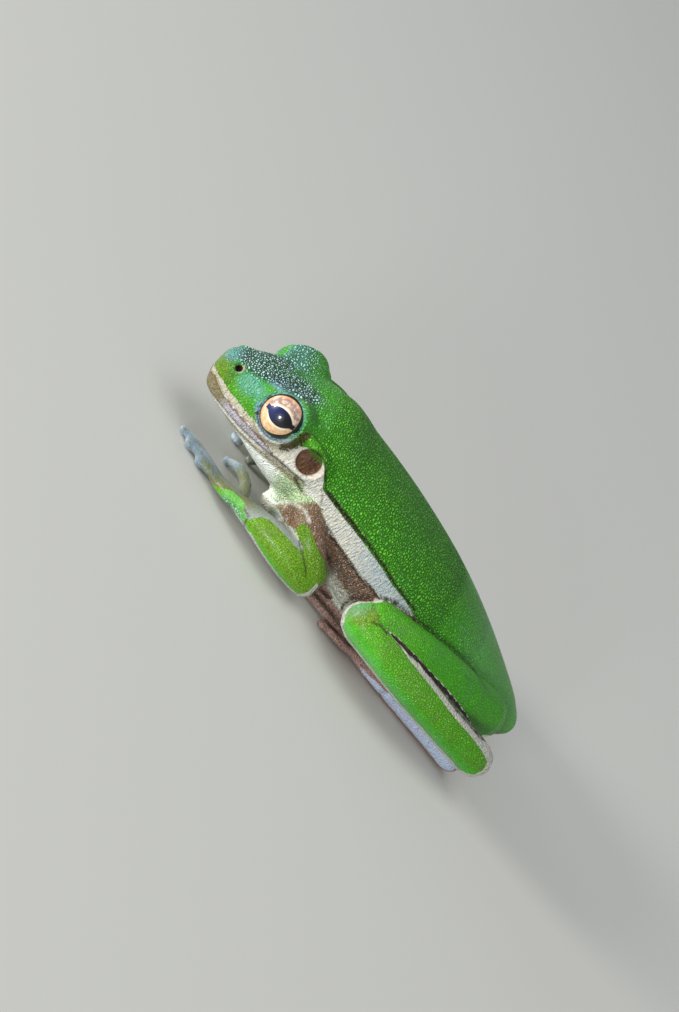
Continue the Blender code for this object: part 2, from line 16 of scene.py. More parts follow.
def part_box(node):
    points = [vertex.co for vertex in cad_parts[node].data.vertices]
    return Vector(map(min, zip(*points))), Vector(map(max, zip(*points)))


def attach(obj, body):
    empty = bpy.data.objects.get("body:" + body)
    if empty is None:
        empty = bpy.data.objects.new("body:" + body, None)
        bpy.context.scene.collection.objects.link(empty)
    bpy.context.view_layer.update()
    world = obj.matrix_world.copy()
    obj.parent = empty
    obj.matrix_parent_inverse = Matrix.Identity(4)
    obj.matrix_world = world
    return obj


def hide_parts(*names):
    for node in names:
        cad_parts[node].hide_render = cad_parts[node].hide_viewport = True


log = logging.getLogger("frog")
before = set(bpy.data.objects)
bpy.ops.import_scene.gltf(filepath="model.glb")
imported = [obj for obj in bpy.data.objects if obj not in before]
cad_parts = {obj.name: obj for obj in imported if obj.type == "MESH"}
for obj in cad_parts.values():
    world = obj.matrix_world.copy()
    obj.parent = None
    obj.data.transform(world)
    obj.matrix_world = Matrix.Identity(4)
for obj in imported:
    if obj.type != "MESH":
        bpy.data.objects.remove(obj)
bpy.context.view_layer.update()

MM = 0.001
Point = Tuple[float, float, float]
Pixel = Tuple[float, float]
Colour = Tuple[float, ...]


def smooth_rise(low: float, high: float, value: np.ndarray) -> np.ndarray:
    """Rises smoothly from 0 at low to 1 at high; low may be the larger."""
    share = np.clip((value - low) / (high - low), 0.0, 1.0)
    return share * share * (3.0 - 2.0 * share)


def bell(value: np.ndarray, width: float) -> np.ndarray:
    """A bump of height 1 at value 0 that falls off over a width."""
    return np.exp(-(value / width) ** 2)


def unit(vector: Sequence[float]) -> np.ndarray:
    """The vector drawn to length 1."""
    made = np.array(vector, float)
    return made / np.linalg.norm(made)


def about_axis(points: np.ndarray, centre: np.ndarray, axis: np.ndarray) -> Tuple[np.ndarray, np.ndarray]:
    """How far points lie along an axis through a centre, and how far out from it."""
    along = (points - centre) @ axis
    return along, np.linalg.norm(points - centre - along[:, None] * axis, axis=1)


def linear(red: float, green: float, blue: float) -> Colour:
    """Turns screen values from 0 to 255 into a linear colour, with an alpha of 1."""
    shares = (value / 255 for value in (red, green, blue))
    return (*(((s + 0.055) / 1.055) ** 2.4 if s > 0.0404 else s / 12.92 for s in shares), 1.0)


class Side(Enum):
    """The frog's own left and right."""

    LEFT = 1
    RIGHT = -1

    @property
    def label(self) -> str:
        """The word used in node names."""
        return self.name.lower()


@dataclass(frozen=True)
class Viewpoint:
    """The photograph's camera, in millimetres of the shared frame."""

    elevation: float = 22.0
    front: float = 17.0
    forward_slope: float = 50.5
    distance: float = 450.0
    mm_per_pixel: float = 0.11
    width: int = 679
    height: int = 1012
    anchor: Point = (0.0, 0.0, 3.7)
    anchor_pixel: Pixel = (350.0, 560.0)

    def axes(self) -> Tuple[np.ndarray, np.ndarray, np.ndarray]:
        """The directions of the picture's right, its top and the way back to the camera.

        Returns:
            Three unit vectors.
        """
        rise, turn = math.radians(self.elevation), math.radians(self.front)
        back = np.array([
            math.cos(rise) * math.cos(turn), -math.cos(rise) * math.sin(turn), math.sin(rise)])
        ahead = np.array([0.0, -1.0, 0.0])
        shown = unit(ahead - ahead.dot(back) * back)
        beside = np.cross(back, shown)
        roll = math.radians(180.0 - self.forward_slope)
        right = math.cos(roll) * shown - math.sin(roll) * beside
        top = math.sin(roll) * shown + math.cos(roll) * beside
        return right, top, back

    def position(self) -> np.ndarray:
        """Where the camera stands.

        Returns:
            Its place in millimetres of the shared frame.
        """
        right, top, back = self.axes()
        across = (self.anchor_pixel[0] - self.width / 2) * self.mm_per_pixel
        above = (self.height / 2 - self.anchor_pixel[1]) * self.mm_per_pixel
        return np.array(self.anchor) + back * self.distance - right * across - top * above

    def pixels(self, points: np.ndarray) -> np.ndarray:
        """Where points of the frame fall in the picture.

        Args:
            points: rows of x, y, z in millimetres.

        Returns:
            Rows of pixel columns and rows.
        """
        right, top, back = self.axes()
        away = points - self.position()
        depth = -away @ back
        focal = self.distance / self.mm_per_pixel
        return np.stack([
            self.width / 2 + away @ right / depth * focal,
            self.height / 2 - away @ top / depth * focal], axis=1)

    def make_camera(self) -> bpy.types.Object:
        """Makes the scene's camera.

        Returns:
            The camera, already set as the scene's.
        """
        right, top, back = self.axes()
        data = bpy.data.cameras.new("camera")
        data.sensor_width = 36.0
        data.lens = self.distance / self.mm_per_pixel * data.sensor_width / self.height
        data.clip_start, data.clip_end = 0.01, 20.0
        camera = bpy.data.objects.new("camera", data)
        turn = Matrix([[right[i], top[i], back[i]] for i in range(3)])
        camera.matrix_world = Matrix.Translation(Vector(self.position()) * MM) @ turn.to_4x4()
        bpy.context.scene.collection.objects.link(camera)
        bpy.context.scene.camera = camera
        return camera


@dataclass(frozen=True)
class BodyPlan:
    """The frog's own measures in millimetres, with its middle plane at x = 0."""

    vent_y: float = 26.5
    pitch: float = math.radians(14.0)
    mouth_corner: Tuple[float, float] = (-13.8, 8.4)
    eye_place: Point = (5.69, 5.4, 3.65)
    eye_gaze: Point = (0.93, -0.28, 0.22)
    eye_radius: float = 2.72
    ear_place: Point = (7.75, 0.3, 2.1)
    ear_axis: Point = (0.96, 0.05, 0.27)
    nostril_place: Point = (2.66, 11.96, 3.52)
    mouth_fall: float = 0.06
    mouth_fall_start: float = 1.5
    right_leg_shift: Point = (-1.2, -1.0, -1.0)
    right_arm_shift: Point = (-0.6, 1.4, 0.0)
    chest_lobes: Tuple[Tuple[Point, float], ...] = (
        ((6.5, -13.2, 3.4), 1.0), ((6.95, -12.1, 3.9), 1.35), ((7.4, -11.1, 4.3), 1.4))

    def offset(self) -> np.ndarray:
        """What is added to a point of the shared frame to get a point of this plan."""
        low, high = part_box("torso")
        return np.array([-0.5 * (low.x + high.x) / MM, self.vent_y - high.y / MM, 0.0])

    def head_point(self, place: Point, side: Side = Side.LEFT) -> np.ndarray:
        """A place given to the side, ahead of the mouth's corner and above the mouth line."""
        across, ahead, rise = place
        return np.array([
            across * side.value,
            self.mouth_corner[0] - ahead * math.cos(self.pitch) - rise * math.sin(self.pitch),
            self.mouth_corner[1] - ahead * math.sin(self.pitch) + rise * math.cos(self.pitch)])

    def head_places(self, points: np.ndarray) -> Tuple[np.ndarray, np.ndarray]:
        """How far ahead of the mouth's corner and above the mouth line points are.

        Args:
            points: rows of the frog's plan.

        Returns:
            The distances ahead and above, one for each point.
        """
        back, down = points[:, 1] - self.mouth_corner[0], points[:, 2] - self.mouth_corner[1]
        ahead = -back * math.cos(self.pitch) - down * math.sin(self.pitch)
        rise = -back * math.sin(self.pitch) + down * math.cos(self.pitch)
        return ahead, rise

    def above_mouth(self, points: np.ndarray) -> np.ndarray:
        """How far above the mouth's opening points are; it falls towards the snout."""
        ahead, rise = self.head_places(points)
        return rise + self.mouth_fall * (ahead - self.mouth_fall_start)

    def sided(self, direction: Point, side: Side) -> np.ndarray:
        """A direction of the left side, turned to a side, of length 1."""
        return unit((direction[0] * side.value, direction[1], direction[2]))


@dataclass(frozen=True)
class Trace:
    """A line of a marking as it runs in the side view, in pixels of the photograph."""

    points: Tuple[Pixel, ...]
    close: Tuple[Pixel, ...] = ()

    def distance(self, pixels: np.ndarray) -> np.ndarray:
        """How far each pixel is from the line, in pixels.

        Args:
            pixels: rows of columns and rows.

        Returns:
            One distance for each pixel.
        """
        nearest = np.full(len(pixels), 1e9)
        for start, end in zip(self.points, self.points[1:]):
            begin, way = np.array(start), np.array(end) - np.array(start)
            share = np.clip((pixels - begin) @ way / way.dot(way), 0.0, 1.0)
            apart = np.linalg.norm(pixels - begin - share[:, None] * way, axis=1)
            nearest = np.minimum(nearest, apart)
        return nearest

    def signed(self, pixels: np.ndarray) -> np.ndarray:
        """The distance from the line, positive inside the area that the line and its closing bound.

        Args:
            pixels: rows of columns and rows.

        Returns:
            One signed distance for each pixel.
        """
        corners = np.array(self.points + self.close, float)
        inside = np.zeros(len(pixels), bool)
        for start, end in zip(corners, np.roll(corners, -1, axis=0)):
            if start[1] == end[1]:
                continue
            crosses = (start[1] > pixels[:, 1]) != (end[1] > pixels[:, 1])
            column = start[0] + (pixels[:, 1] - start[1]) * (end[0] - start[0]) / (end[1] - start[1])
            inside ^= crosses & (pixels[:, 0] < column)
        return np.where(inside, 1.0, -1.0) * self.distance(pixels)


class Value:
    """A shader socket that can be added, multiplied and compared like a number."""

    def __init__(self, graph: "Graph", socket: bpy.types.NodeSocket) -> None:
        """Wraps a socket of a graph."""
        self.graph = graph
        self.socket = socket

    def math(self, operation: str, *others: object) -> "Value":
        """Adds a Math node with this value first."""
        return self.graph.node("ShaderNodeMath", {"operation": operation}, dict(enumerate((self, *others))))

    def __add__(self, other: object) -> "Value":
        """Sum."""
        return self.math("ADD", other)

    __radd__ = __add__

    def __sub__(self, other: object) -> "Value":
        """Difference."""
        return self.math("SUBTRACT", other)

    def __rsub__(self, other: object) -> "Value":
        """Difference from a number."""
        return self.graph.node("ShaderNodeMath", {"operation": "SUBTRACT"}, {0: other, 1: self})

    def __mul__(self, other: object) -> "Value":
        """Product."""
        return self.math("MULTIPLY", other)

    __rmul__ = __mul__

    def __truediv__(self, other: object) -> "Value":
        """Quotient."""
        return self.math("DIVIDE", other)

    def __neg__(self) -> "Value":
        """Opposite."""
        return self.math("MULTIPLY", -1.0)

    def __abs__(self) -> "Value":
        """Size without sign."""
        return self.math("ABSOLUTE")

    def __pow__(self, other: object) -> "Value":
        """Power."""
        return self.math("POWER", other)

    def least(self, other: object) -> "Value":
        """The smaller of two."""
        return self.math("MINIMUM", other)

    def most(self, other: object) -> "Value":
        """The larger of two."""
        return self.math("MAXIMUM", other)

    def rise(self, low: float, high: float) -> "Value":
        """Rises smoothly from 0 at low to 1 at high; low may be the larger."""
        if low > high:
            return 1.0 - self.rise(high, low)
        return self.graph.node(
            "ShaderNodeMapRange", {"interpolation_type": "SMOOTHSTEP"},
            {"Value": self, "From Min": low, "From Max": high})


class Graph:
    """The node tree of one material."""

    def __init__(self, name: str) -> None:
        """Starts a material with a Principled BSDF.

        Args:
            name: the material's name.
        """
        self.material = bpy.data.materials.new(name)
        self.material.use_nodes = True
        self.nodes = self.material.node_tree.nodes
        self.links = self.material.node_tree.links
        self.shader = self.nodes["Principled BSDF"]
        self.place = self.node("ShaderNodeTexCoord", output="Object")

    def plug(self, target: bpy.types.NodeSocket, value: object) -> None:
        """Links a value to a socket, or sets the socket to a constant."""
        if isinstance(value, Value):
            self.links.new(value.socket, target)
        else:
            target.default_value = value

    def node(self, kind: str, settings: Dict[str, object] = {}, inputs: Dict[object, object] = {},
             output: object = 0) -> Value:
        """Adds a node.

        Args:
            kind: the node's type name.
            settings: its properties, set first.
            inputs: values or links of its sockets, by name or number.
            output: the socket to return, by name or number.

        Returns:
            The wrapped output socket.
        """
        made = self.nodes.new(kind)
        for key, value in settings.items():
            setattr(made, key, value)
        for key, value in inputs.items():
            self.plug(made.inputs[key], value)
        return Value(self, made.outputs[output])

    def attribute(self, name: str) -> Value:
        """Reads a number stored on the mesh."""
        return self.node("ShaderNodeAttribute", {"attribute_name": name}, output="Fac")

    def mix(self, factor: object, first: object, second: object) -> Value:
        """Goes from the first colour to the second."""
        return self.node("ShaderNodeMix", {"data_type": "RGBA"}, {0: factor, 6: first, 7: second}, 2)

    def stretched(self, scale: Point, turn: Point = (0.0, 0.0, 0.0)) -> Value:
        """The object's coordinates, turned and scaled."""
        return self.node("ShaderNodeMapping", {}, {
            "Vector": self.place, "Rotation": [math.radians(angle) for angle in turn], "Scale": scale})

    def noise(self, size_mm: float, detail: float = 2.0, place: object = None) -> Value:
        """Cloudy variation from 0 to 1 with a given grain size."""
        return self.node("ShaderNodeTexNoise", {}, {
            "Vector": place or self.place, "Scale": 1.0 / (size_mm * MM), "Detail": detail})

    def jittered(self, scale: float, amount: float, place: Value) -> Value:
        """A place pushed about by a coloured noise, so that cells lose their regular shape."""
        push = self.node("ShaderNodeTexNoise", {}, {"Vector": self.place, "Scale": scale}, "Color")
        return self.node(
            "ShaderNodeVectorMath", {"operation": "MULTIPLY_ADD"}, {0: push, 1: (amount,) * 3, 2: place})

    def cells(self, size_mm: float, place: object = None) -> Value:
        """Rounded grains: 0 in the grooves between them and larger towards their middles."""
        return self.node("ShaderNodeTexVoronoi", {"feature": "DISTANCE_TO_EDGE"}, {
            "Vector": place or self.place, "Scale": 1.0 / (size_mm * MM), "Randomness": 0.9})

    def bump(self, height: Value, depth_mm: float, strength: float = 1.0) -> None:
        """Raises the surface by a height from 0 to 1 times a depth."""
        normal = self.node("ShaderNodeBump", {}, {
            "Height": height, "Distance": depth_mm * MM, "Strength": strength})
        self.plug(self.shader.inputs["Normal"], normal)

    def finish(self, **sockets: object) -> bpy.types.Material:
        """Sets the shader's sockets, with underscores for spaces, and returns the material."""
        for name, value in sockets.items():
            self.plug(self.shader.inputs[name.replace("_", " ")], value)
        return self.material


@dataclass(frozen=True)
class SkinFinish:
    """Moist grained skin: green back, cream stripe, brown flank, pale belly and grey digits, with painted
    shade, highlights, glints and sky reflection.
    """

    green: Colour = linear(82, 190, 22)
    # Painted shade in the grooves between granules.
    green_groove: Colour = linear(26, 64, 8)
    # A darker copy of the green, used for painted shade.
    green_shade: Colour = linear(62, 148, 34)
    lime: Colour = linear(114, 158, 18)
    mint: Colour = linear(108, 184, 96)
    # Painted glint: bluish-white glints of the sky on granule tops.
    frost: Colour = linear(190, 224, 230)
    # Painted sky reflection: a bluish sheen on the head's upper parts and the knee.
    veil: Colour = linear(116, 166, 196)
    cream: Colour = linear(206, 202, 186)
    # A shaded grey-blue copy of the cream: painted shade in the stripe's wrinkles and along its rear.
    stripe_shade: Colour = linear(150, 166, 172)
    lip_cream: Colour = linear(184, 178, 142)
    lip_brown: Colour = linear(116, 92, 66)
    lilac: Colour = linear(166, 162, 172)
    band: Colour = linear(176, 186, 206)
    brown: Colour = linear(128, 98, 72)
    brown_dark: Colour = linear(62, 40, 28)
    brown_speck: Colour = linear(190, 170, 156)
    belly: Colour = linear(250, 254, 232)
    throat: Colour = linear(238, 242, 234)
    digit: Colour = linear(112, 130, 142)
    digit_brown: Colour = linear(104, 108, 70)
    rose_brown: Colour = linear(146, 108, 88)
    ear: Colour = linear(98, 64, 36)
    line: Colour = linear(40, 20, 4)
    # Painted highlight on granule tops.
    grain_top: Colour = linear(124, 204, 50)
    fleck_dark: Colour = linear(92, 92, 16)
    fleck_light: Colour = linear(150, 190, 74)
    # Painted shade in the grooves between the painted glints.
    frost_groove: Colour = linear(10, 48, 20)
    smudge_dark: Colour = linear(42, 36, 12)
    smudge_light: Colour = linear(98, 86, 36)
    ear_light: Colour = linear(84, 56, 36)
    ear_middle: Colour = linear(58, 34, 26)
    ear_green: Colour = linear(72, 112, 34)
    ear_rim: Colour = linear(220, 204, 188)
    lid_green: Colour = linear(104, 164, 140)
    lid_pale: Colour = linear(196, 210, 222)
    lid_blue: Colour = linear(84, 100, 136)
    nostril_rim: Colour = linear(208, 178, 160)
    # Painted shade inside the nostril pit.
    nostril: Colour = linear(30, 17, 12)
    belly_fleck: Colour = linear(244, 246, 238)
    belly_groove: Colour = linear(176, 176, 154)
    jaw_green: Colour = linear(84, 136, 52)
    jaw_green_pale: Colour = linear(190, 214, 156)
    flank_fleck: Colour = linear(222, 208, 208)
    digit_edge: Colour = linear(186, 198, 206)
    rose_light: Colour = linear(206, 178, 178)
    rib_dark: Colour = linear(118, 106, 96)
    rib_light: Colour = linear(206, 204, 214)
    snout_olive: Colour = linear(104, 92, 40)
    chin_olive: Colour = linear(126, 116, 86)
    chin_pale: Colour = linear(214, 214, 204)
    # Painted shadow in the gaps between the leg's parts.
    gap: Colour = linear(44, 32, 22)

    def make(self) -> bpy.types.Material:
        """Makes the material.

        Returns:
            The skin's material, which reads the numbers of SkinMarks.
        """
        g = Graph("frog_skin")
        read = {name: g.attribute(name) for name in SkinMarks.NAMES}
        bent = g.jittered(1500.0, 0.00035, g.stretched((0.95, 1.4, 0.95)))
        on_back, on_limbs = read["fine"].rise(0.35, 0.15), read["fine"].rise(0.65, 0.85)
        on_head = 1.0 - on_back - on_limbs
        small = g.cells(0.4, bent)
        grain = small * (on_back + on_head) + g.cells(0.32, bent) * on_limbs
        fine = g.noise(0.16, 1.0)
        speck = g.noise(0.3, 2.0)
        mottle = g.noise(2.4, 3.0)
        wobble = (g.noise(0.6, 2.0) - 0.5) * 0.3
        light = (mottle - 0.5) * 0.5
        dome = grain.rise(0.0, 0.36) * (on_back * 1.35 + on_head * 0.9 + on_limbs * 0.5)
        groove = grain.rise(0.18, 0.03) * (1.0 - on_limbs * 0.35 - on_head * 0.3)
        tint = (speck - 0.5) * 0.5

        ground = self.ground(g, read, fine, speck)
        wrinkles = g.noise(0.2, 2.0, g.stretched((0.5, 1.0, 0.32), (14.0, 0.0, 0.0)))
        # Painted shade: the stripe's wrinkle hollows and its rear are drawn in the shaded copy of the
        # cream.
        stripe = g.mix(
            wrinkles.rise(0.58, 0.36) * 0.5 + read["rear"] * (0.55 + (fine - 0.5) * 0.8),
            self.cream, self.stripe_shade)
        lip_cream = g.mix(wrinkles.rise(0.6, 0.4) * 0.5, self.lip_cream, self.lilac)
        stripe = g.mix(read["lip_light"], stripe, lip_cream)
        cream_mask = (read["cream"] + wobble * 0.3).rise(-0.02, 0.05)
        skin = g.mix(cream_mask, ground, stripe)
        green_mask = (read["green"] + wobble * 0.5 + tint * read["ragged"] * 0.6).rise(-0.03, 0.04)
        cream_mask = cream_mask * (1.0 - green_mask)

        # Painted shade: the green darkens where the marks set it as shaded.
        green = g.mix((read["shade"] + light).rise(0.2, 0.9), self.green, self.green_shade)
        green = g.mix((read["lime"] + light + tint * 0.3).rise(0.1, 1.0), green, self.lime)
        green = g.mix((read["mint"] + light * 0.6).rise(0.2, 1.0), green, self.mint)
        flecks = on_limbs * read["lime"].rise(0.55, 0.8)
        green = g.mix(fine.rise(0.48, 0.34) * flecks * 0.55, green, self.fleck_dark)
        green = g.mix(fine.rise(0.56, 0.68) * flecks * 0.5, green, self.fleck_light)
        # Painted highlight: granule tops on the back are lightened.
        tops = grain.rise(0.13, 0.3) * on_back * (1.0 - read["mint"] * 0.6)
        green = g.mix(tops * 0.4, green, self.grain_top)
        # Painted shade: the grooves between granules are darkened.
        green = g.mix(groove * (0.78 - read["mint"] * 0.35), green, self.green_groove)
        # Painted sky reflection laid over the green, weaker in the grooves.
        green = g.mix((read["blue"] + light * 0.4) * (0.8 - groove * 0.4), green, self.veil)
        # Painted glints of the sky on granule tops, with painted shade in the grooves between them.
        glinted = g.mix(small.rise(0.24, 0.13), self.frost, self.frost_groove)
        green = g.mix((read["frost"] + tint * 0.9).rise(0.05, 1.0) * 0.9, green, glinted)
        skin = g.mix(green_mask, skin, green)

        smudge = (read["smudge"] + (speck - 0.5) * 2.2 + (fine - 0.5) * 1.2).rise(0.4, 0.6)
        smudged = g.mix(fine.rise(0.4, 0.65), self.smudge_dark, self.smudge_light)
        skin = g.mix(smudge * 0.95, skin, smudged)
        ear = g.mix(g.noise(0.5, 3.0).rise(0.35, 0.7), self.ear, self.ear_light)
        ear = g.mix(read["ear"].rise(0.9, 0.1) * 0.4, ear, self.ear_middle)
        ear_mask = read["ear"].rise(1.5, 1.4)
        ear_green = (read["ear_corner"] + wobble * 0.8).rise(-0.1, 0.2)
        skin = g.mix(ear_mask, skin, g.mix(ear_green * 0.85, ear, self.ear_green))
        rim = read["ear"].rise(1.46, 1.58) * read["ear"].rise(1.8, 1.62) * (1.0 - ear_green)
        skin = g.mix(rim * 0.7, skin, self.ear_rim)

        lid = g.mix(read["lid_low"], self.lid_green, self.lid_pale)
        skin = g.mix(read["lid"], skin, g.mix(read["lid_front"], lid, self.lid_blue))
        # Dark lines: the stripe's borders, with painted shade along the mouth groove and in the folds of
        # the limbs.
        skin = g.mix(read["line"] * (speck.rise(0.25, 0.55) * 0.4 + 0.6), skin, self.line)
        # Painted shade: dark lines in the creases where parts are pressed together.
        skin = g.mix(read["crease"] * 0.8, skin, self.line)
        skin = g.mix(read["pit_rim"], skin, self.nostril_rim)
        # Painted shade in the nostril pit.
        skin = g.mix(read["pit"], skin, self.nostril)

        smooth_skin = read["digit"] * 0.75 + read["throat"] * (1.0 - green_mask) * 0.5
        smooth_skin = (smooth_skin + cream_mask * 0.85).least(0.95)
        height = dome * (1.0 - smooth_skin) + fine * 0.15
        height = height + wrinkles * cream_mask * (1.8 - read["rear"] * 0.8)
        height = height + speck * (read["throat"] + read["digit"] * 0.6) * 0.25
        g.bump(height, 0.23)
        rough = 0.32 + on_back * (1.0 - cream_mask) * 0.16 + groove * 0.22
        rough = rough - read["digit"] * 0.06 + (fine - 0.5) * 0.1
        return g.finish(
            Base_Color=skin, Roughness=rough, IOR=1.34, Subsurface_Weight=0.05,
            Subsurface_Radius=(1.0, 0.8, 0.4), Subsurface_Scale=0.0002,
            Coat_Weight=0.16 - on_back * 0.12, Coat_Roughness=0.25)

    def ground(self, g: "Graph", read: Dict[str, "Value"], fine: "Value", speck: "Value") -> "Value":
        """Everything that lies under the cream and the green: belly, throat, flank, lips and digits.

        Args:
            g: the material's graph.
            read: the numbers stored on the mesh.
            fine: the finest grain.
            speck: the grain of the flecks.

        Returns:
            The colour.
        """
        ground = g.mix(read["throat"], self.belly, self.throat)
        ground = g.mix(speck.rise(0.52, 0.7) * 0.4, ground, self.belly_fleck)
        ground = g.mix(fine.rise(0.42, 0.26) * 0.35, ground, self.belly_groove)
        tinted = (read["jaw_tint"] * 1.2 + (speck - 0.5) * 0.5).rise(0.0, 1.0)
        jaw = g.mix(fine.rise(0.42, 0.58), self.jaw_green, self.jaw_green_pale)
        ground = g.mix(tinted * 0.8, ground, jaw)
        dotted = (read["jaw_tint"] + read["throat"] * 0.25) * fine.rise(0.6, 0.68)
        ground = g.mix(dotted * 0.8, ground, self.brown)
        brown = g.mix(speck.rise(0.58, 0.7) * 0.75, self.brown, self.brown_speck)
        brown = g.mix(speck.rise(0.46, 0.34), brown, self.brown_dark)
        brown = g.mix(fine.rise(0.6, 0.68) * speck.rise(0.45, 0.55), brown, self.flank_fleck)
        brown = g.mix(fine.rise(0.42, 0.34) * 0.6, brown, self.brown_dark)
        patches = g.noise(1.1, 3.0).rise(0.52, 0.72) * read["digit"].rise(0.0, 0.1)
        brown = g.mix(patches * 0.7, brown, self.belly)
        browned = read["brown"] * (1.0 + (fine - 0.5) * 0.7 + (speck - 0.5) * 1.6)
        ground = g.mix(browned.rise(0.2, 0.9), ground, brown)
        olive = g.noise(0.8, 2.0) + (speck - 0.5) * 0.6 - read["olive"] * 0.5
        digit = g.mix(olive.rise(0.16, 0.56), self.digit_brown, self.digit)
        # Pale edge tint: painted rim light on the hands where they turn from the camera, and paler on the
        # forearm's lower part in the side view.
        digit = g.mix(read["edge"], digit, self.digit_edge)
        rose = g.mix(fine.rise(0.42, 0.7) * 0.6, self.rose_brown, self.rose_light)
        rose = g.mix(speck.rise(0.42, 0.28) * 0.7, rose, self.brown_dark)
        digit = g.mix(read["rose"], digit, rose)
        ground = g.mix(read["digit"], ground, digit)
        lip = g.mix((read["lip_height"] + (speck - 0.5) * 1.6).rise(0.75, 0.25), self.lip_brown, self.lilac)
        ribs = g.noise(0.12, 2.0, g.stretched((1.0, 1.0, 0.4), (14.0, 0.0, 0.0)))
        lip = g.mix(ribs.rise(0.45, 0.62) * 0.5, lip, self.rib_dark)
        lip = g.mix(ribs.rise(0.45, 0.3) * 0.35, lip, self.rib_light)
        lip = g.mix(read["lip_front"] * (0.7 + fine * 0.3), lip, self.snout_olive)
        ground = g.mix(read["lip"], ground, lip)
        ground = g.mix(read["chin"] * (0.5 + speck * 0.6), ground, self.chin_olive)
        ground = g.mix(read["chin_line"] * 0.8, ground, self.chin_pale)
        band = g.mix(fine.rise(0.45, 0.3) * 0.3, self.band, self.digit)
        banded = read["band"] + (speck - 0.5) * 0.8 + (fine - 0.5) * 0.5
        ground = g.mix(banded.rise(0.3, 0.6), ground, band)
        # Painted shadow in the gaps between the leg's parts.
        return g.mix((read["gap"] + (speck - 0.5) * 0.3).rise(0.25, 0.6), ground, self.gap)


@dataclass(frozen=True)
class EyeFinish:
    """A wet eye: pinkish gold iris, pale ring, lens-shaped black pupil and dark edge."""

    rose: Colour = linear(160, 126, 112)
    gold: Colour = linear(232, 188, 134)
    vein: Colour = linear(160, 96, 74)
    ring: Colour = linear(240, 226, 200)
    pupil: Colour = linear(6, 7, 12)
    edge: Colour = linear(18, 10, 10)
    lid_blue: Colour = linear(78, 88, 128)
    outer_rose: Colour = linear(232, 158, 112)
    # Painted sky reflection in the pupil.
    pupil_blue: Colour = linear(24, 34, 92)

    def make(self) -> bpy.types.Material:
        """Makes the material.

        Returns:
            The eyes' material, which reads the iris's coordinates.
        """
        g = Graph("frog_eye")
        along, above = g.attribute("along"), g.attribute("above")
        radius = (along * along + above * above) ** 0.5
        angle = above.math("ARCTAN2", along)
        polar = g.node("ShaderNodeCombineXYZ", {}, {0: angle * 5.0, 1: radius * 1.1})
        fibres = g.node("ShaderNodeTexNoise", {}, {"Vector": polar, "Scale": 2.2, "Detail": 4.0,
                                                   "Roughness": 0.65})
        half = (1.0 - (abs(along) / 1.75) ** 2.2).most(0.0) * 0.96
        end = (abs(along) - 1.9).most(abs(above) - 0.26)
        inside = (half - abs(above)).most(-1.0 * end)
        iris = g.mix((above * 0.9 + (fibres - 0.5) * 0.8).rise(-0.9, 0.9), self.gold, self.rose)
        veins = g.node("ShaderNodeTexVoronoi", {"feature": "DISTANCE_TO_EDGE"}, {
            "Vector": g.jittered(1400.0, 0.0009, g.place), "Scale": 1900.0})
        iris = g.mix((veins.rise(0.09, 0.02) * fibres.rise(0.4, 0.6)) * 0.55, iris, self.vein)
        iris = g.mix(g.noise(0.5, 3.0).rise(0.56, 0.36) * 0.6, iris, self.ring)
        ring = (half - abs(above)).rise(-0.42, -0.1) * abs(along).rise(1.7, 1.0)
        iris = g.mix(ring * 0.9, iris, self.ring)
        iris = g.mix(radius.rise(1.95, 2.15) * 0.7, iris, self.outer_rose)
        ahead = (along * 0.75 + above * 0.66).most(0.0)
        iris = g.mix((radius + ahead * -0.2).rise(2.26, 2.32), iris, self.edge)
        back = (along * -0.9 - above * 0.45).rise(0.2, 2.0)
        iris = g.mix((radius + back * 0.34).rise(2.22, 2.28), iris, self.edge)
        front = (along * 0.6 - above * 0.75).rise(0.6, 1.6) * radius.rise(2.36, 2.42)
        iris = g.mix(front, iris, self.lid_blue)
        # Painted sky reflection: the pupil turns blue towards its front and top.
        pupil = g.mix((along * 0.8 + above * 0.3).rise(-0.5, 0.9) * 0.85, self.pupil, self.pupil_blue)
        iris = g.mix(inside.rise(-0.05, 0.02), iris, pupil)
        g.bump(fibres, 0.03, 0.25)
        return g.finish(
            Base_Color=iris, Roughness=0.3, IOR=1.38, Coat_Weight=0.8, Coat_Roughness=0.02,
            Subsurface_Weight=0.05, Subsurface_Radius=(1.0, 0.6, 0.4), Subsurface_Scale=0.0003)


